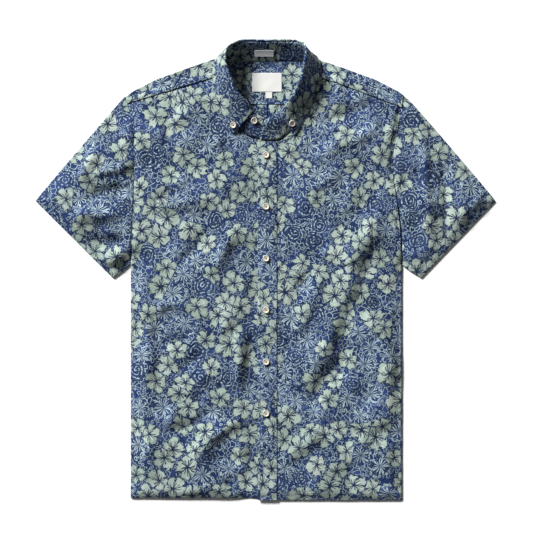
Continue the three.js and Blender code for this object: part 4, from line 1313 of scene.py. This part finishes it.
show("pocket", *pocket_grid(), POCKET_SHELL)
inset = POCKET_STITCH
pocket_line = [
    (POCKET_X[0] + inset, POCKET_TOP - 1),
    (POCKET_X[0] + inset, POCKET_SIDE_Y + inset),
    (POCKET_POINT[0], POCKET_POINT[1] + inset),
    (POCKET_X[1] - inset, POCKET_SIDE_Y + inset),
    (POCKET_X[1] - inset, POCKET_TOP - 1),
]
run = np.linspace(0, 1, 60)
for a, b in zip(pocket_line, pocket_line[1:]):
    sew(pocket_height, lerp(a[0], b[0], run), lerp(a[1], b[1], run))
hem_x = np.linspace(POCKET_X[0] + 2, POCKET_X[1] - 2, 60)
sew(pocket_height, hem_x, POCKET_TOP - POCKET_HEM)

for side in ("left", "right"):
    sleeve = Sleeve(side)
    show("sleeve_" + side, *sleeve.grid(), tube=True, flip=side == "right")
    at = np.linspace(0.02, 0.98, 120)
    cuff = sleeve.upper(at, np.full_like(at, 1 - CUFF_HEM / sleeve.long))
    stitch_paths.append(cuff + [0, 0, HEM_THREAD_LIFT])
    seam = sleeve.upper(np.linspace(0.03, 0.9, 140), np.full(140, ARM_STITCH / sleeve.long))
    stitch_paths.append(seam + [0, 0, THREAD_LIFT])

for side in ("left", "right"):
    show("yoke_" + side, *yoke_grid(side), node="yoke", flip=side == "left")
    arm_x = armhole[side].at_length(YOKE_SHARE[side])[0]
    x = np.linspace(NECKLINE[side][-1][0], arm_x, 120)
    height = lambda px, py: top_at(px, py) + YOKE_LAP - 0.5
    sew(height, x, yoke_front_y(x, side) + YOKE_STITCH)
show("yoke_middle", *yoke_middle(), node="yoke")
sew(lambda px, py: CLOTH + 0 * px, np.linspace(-70, 70, 80), BACK_SEAM_Y + YOKE_STITCH)

show("back", *back_grid(), BACK_SHELL, offset=0.0)

stations = np.linspace(0, len(COLLAR) - 1, 221)
stand = stand_grid(stations)
show("collar_stand", stand, cut_by_length(stand), STAND_SHELL, offset=0.0)
near_ends = [FALL_FROM + 0.03, FALL_TO - 0.03]
stations = np.sort(np.concatenate([np.linspace(FALL_FROM, FALL_TO, 181), near_ends]))
fall = fall_grid(stations)
show("collar_fall", fall, cut_by_length(fall), COLLAR_SHELL, offset=0.0)

for name, place in (("neck_label", NECK_LABEL), ("size_tab", SIZE_TAB)):
    label = label_grid(*place)
    show(name, label, label[..., :2], LABEL_SHELL, slot="label_white")
tag = tag_grid(stand, *STAND_TAG)
tag_cut = cut_by_length(tag.swapaxes(0, 1)).swapaxes(0, 1)
show("stand_tag", tag, tag_cut, LABEL_SHELL, slot="tag_grey")

# The fall's stitch line, along its edge and both of its ends
end_rows = 3.2, len(fall) - 4.2
rows = np.linspace(*end_rows, 900)
column = np.interp(rows, np.arange(len(fall)), from_edge(fall, COLLAR_STITCH))
stitch_paths.append(from_grid(fall, rows, column, FALL_THREAD_LIFT))
for row, end in zip(end_rows, (column[0], column[-1])):
    stitch_paths.append(from_grid(fall, row, np.linspace(6, end, 120), FALL_THREAD_LIFT))

stitches("stitching", stitch_paths)
# A near-continuous cord of the dark stitching thread along the yoke's back seam: painted shadow,
# for the dark line where the yoke laps the back
seam_shadow_path = over(lambda px, py: 1.1 + 0 * px, np.linspace(-78, 79, 80), BACK_SEAM_Y - 0.3)
stitches("painted_seam_shadow", [seam_shadow_path], 3.0, 2.95, 1.1)
for count in range(6):
    button(f"button_{count + 1}")
sew_on("button_band", stand, STAND_SHELL)
for node in ("button_point_right", "button_point_left"):
    sew_on(node, fall, COLLAR_SHELL)

# ---- Floor, light and camera ----

FLOOR_REACH = 6000
FLOOR_DROP = 0.6
corners = np.array([(-1, -1, -1), (1, -1, -1), (1, 1, -1), (-1, 1, -1)])
corners = corners * [FLOOR_REACH, FLOOR_REACH, FLOOR_DROP]
floor = new_piece("floor", corners, [(0, 1, 2, 3)])
floor_look = {"Base Color": (0.92, 0.92, 0.92), "Roughness": 0.9, "Specular IOR Level": 0.1}
floor.data.materials.append(Sheet("floor").surface(floor_look))

world = bpy.data.worlds.new("studio")
bpy.context.scene.world = world
world.use_nodes = True
background = world.node_tree.nodes["Background"]
background.inputs["Color"].default_value = (1.0, 1.0, 1.0, 1)
background.inputs["Strength"].default_value = 0.12


def area_light(name, place, size, energy):
    data = bpy.data.lights.new(name, "AREA")
    data.shape = "DISK"
    data.size = size
    data.energy = energy
    lamp = add_object(name, data)
    lamp.location = place
    lamp.rotation_mode = "QUATERNION"
    lamp.rotation_quaternion = (-Vector(place)).to_track_quat("-Z", "Y")


area_light("key", (-8.6, 10.4, 7.6), size=4.6, energy=5600)

camera_data = bpy.data.cameras.new("camera")
camera_data.sensor_width = 36
camera_data.lens = 103.3
camera = add_object("camera", camera_data)
camera.location = (0.0017, 0.0067, 2.6)
bpy.context.scene.camera = camera
bpy.context.scene.view_settings.view_transform = "Standard"
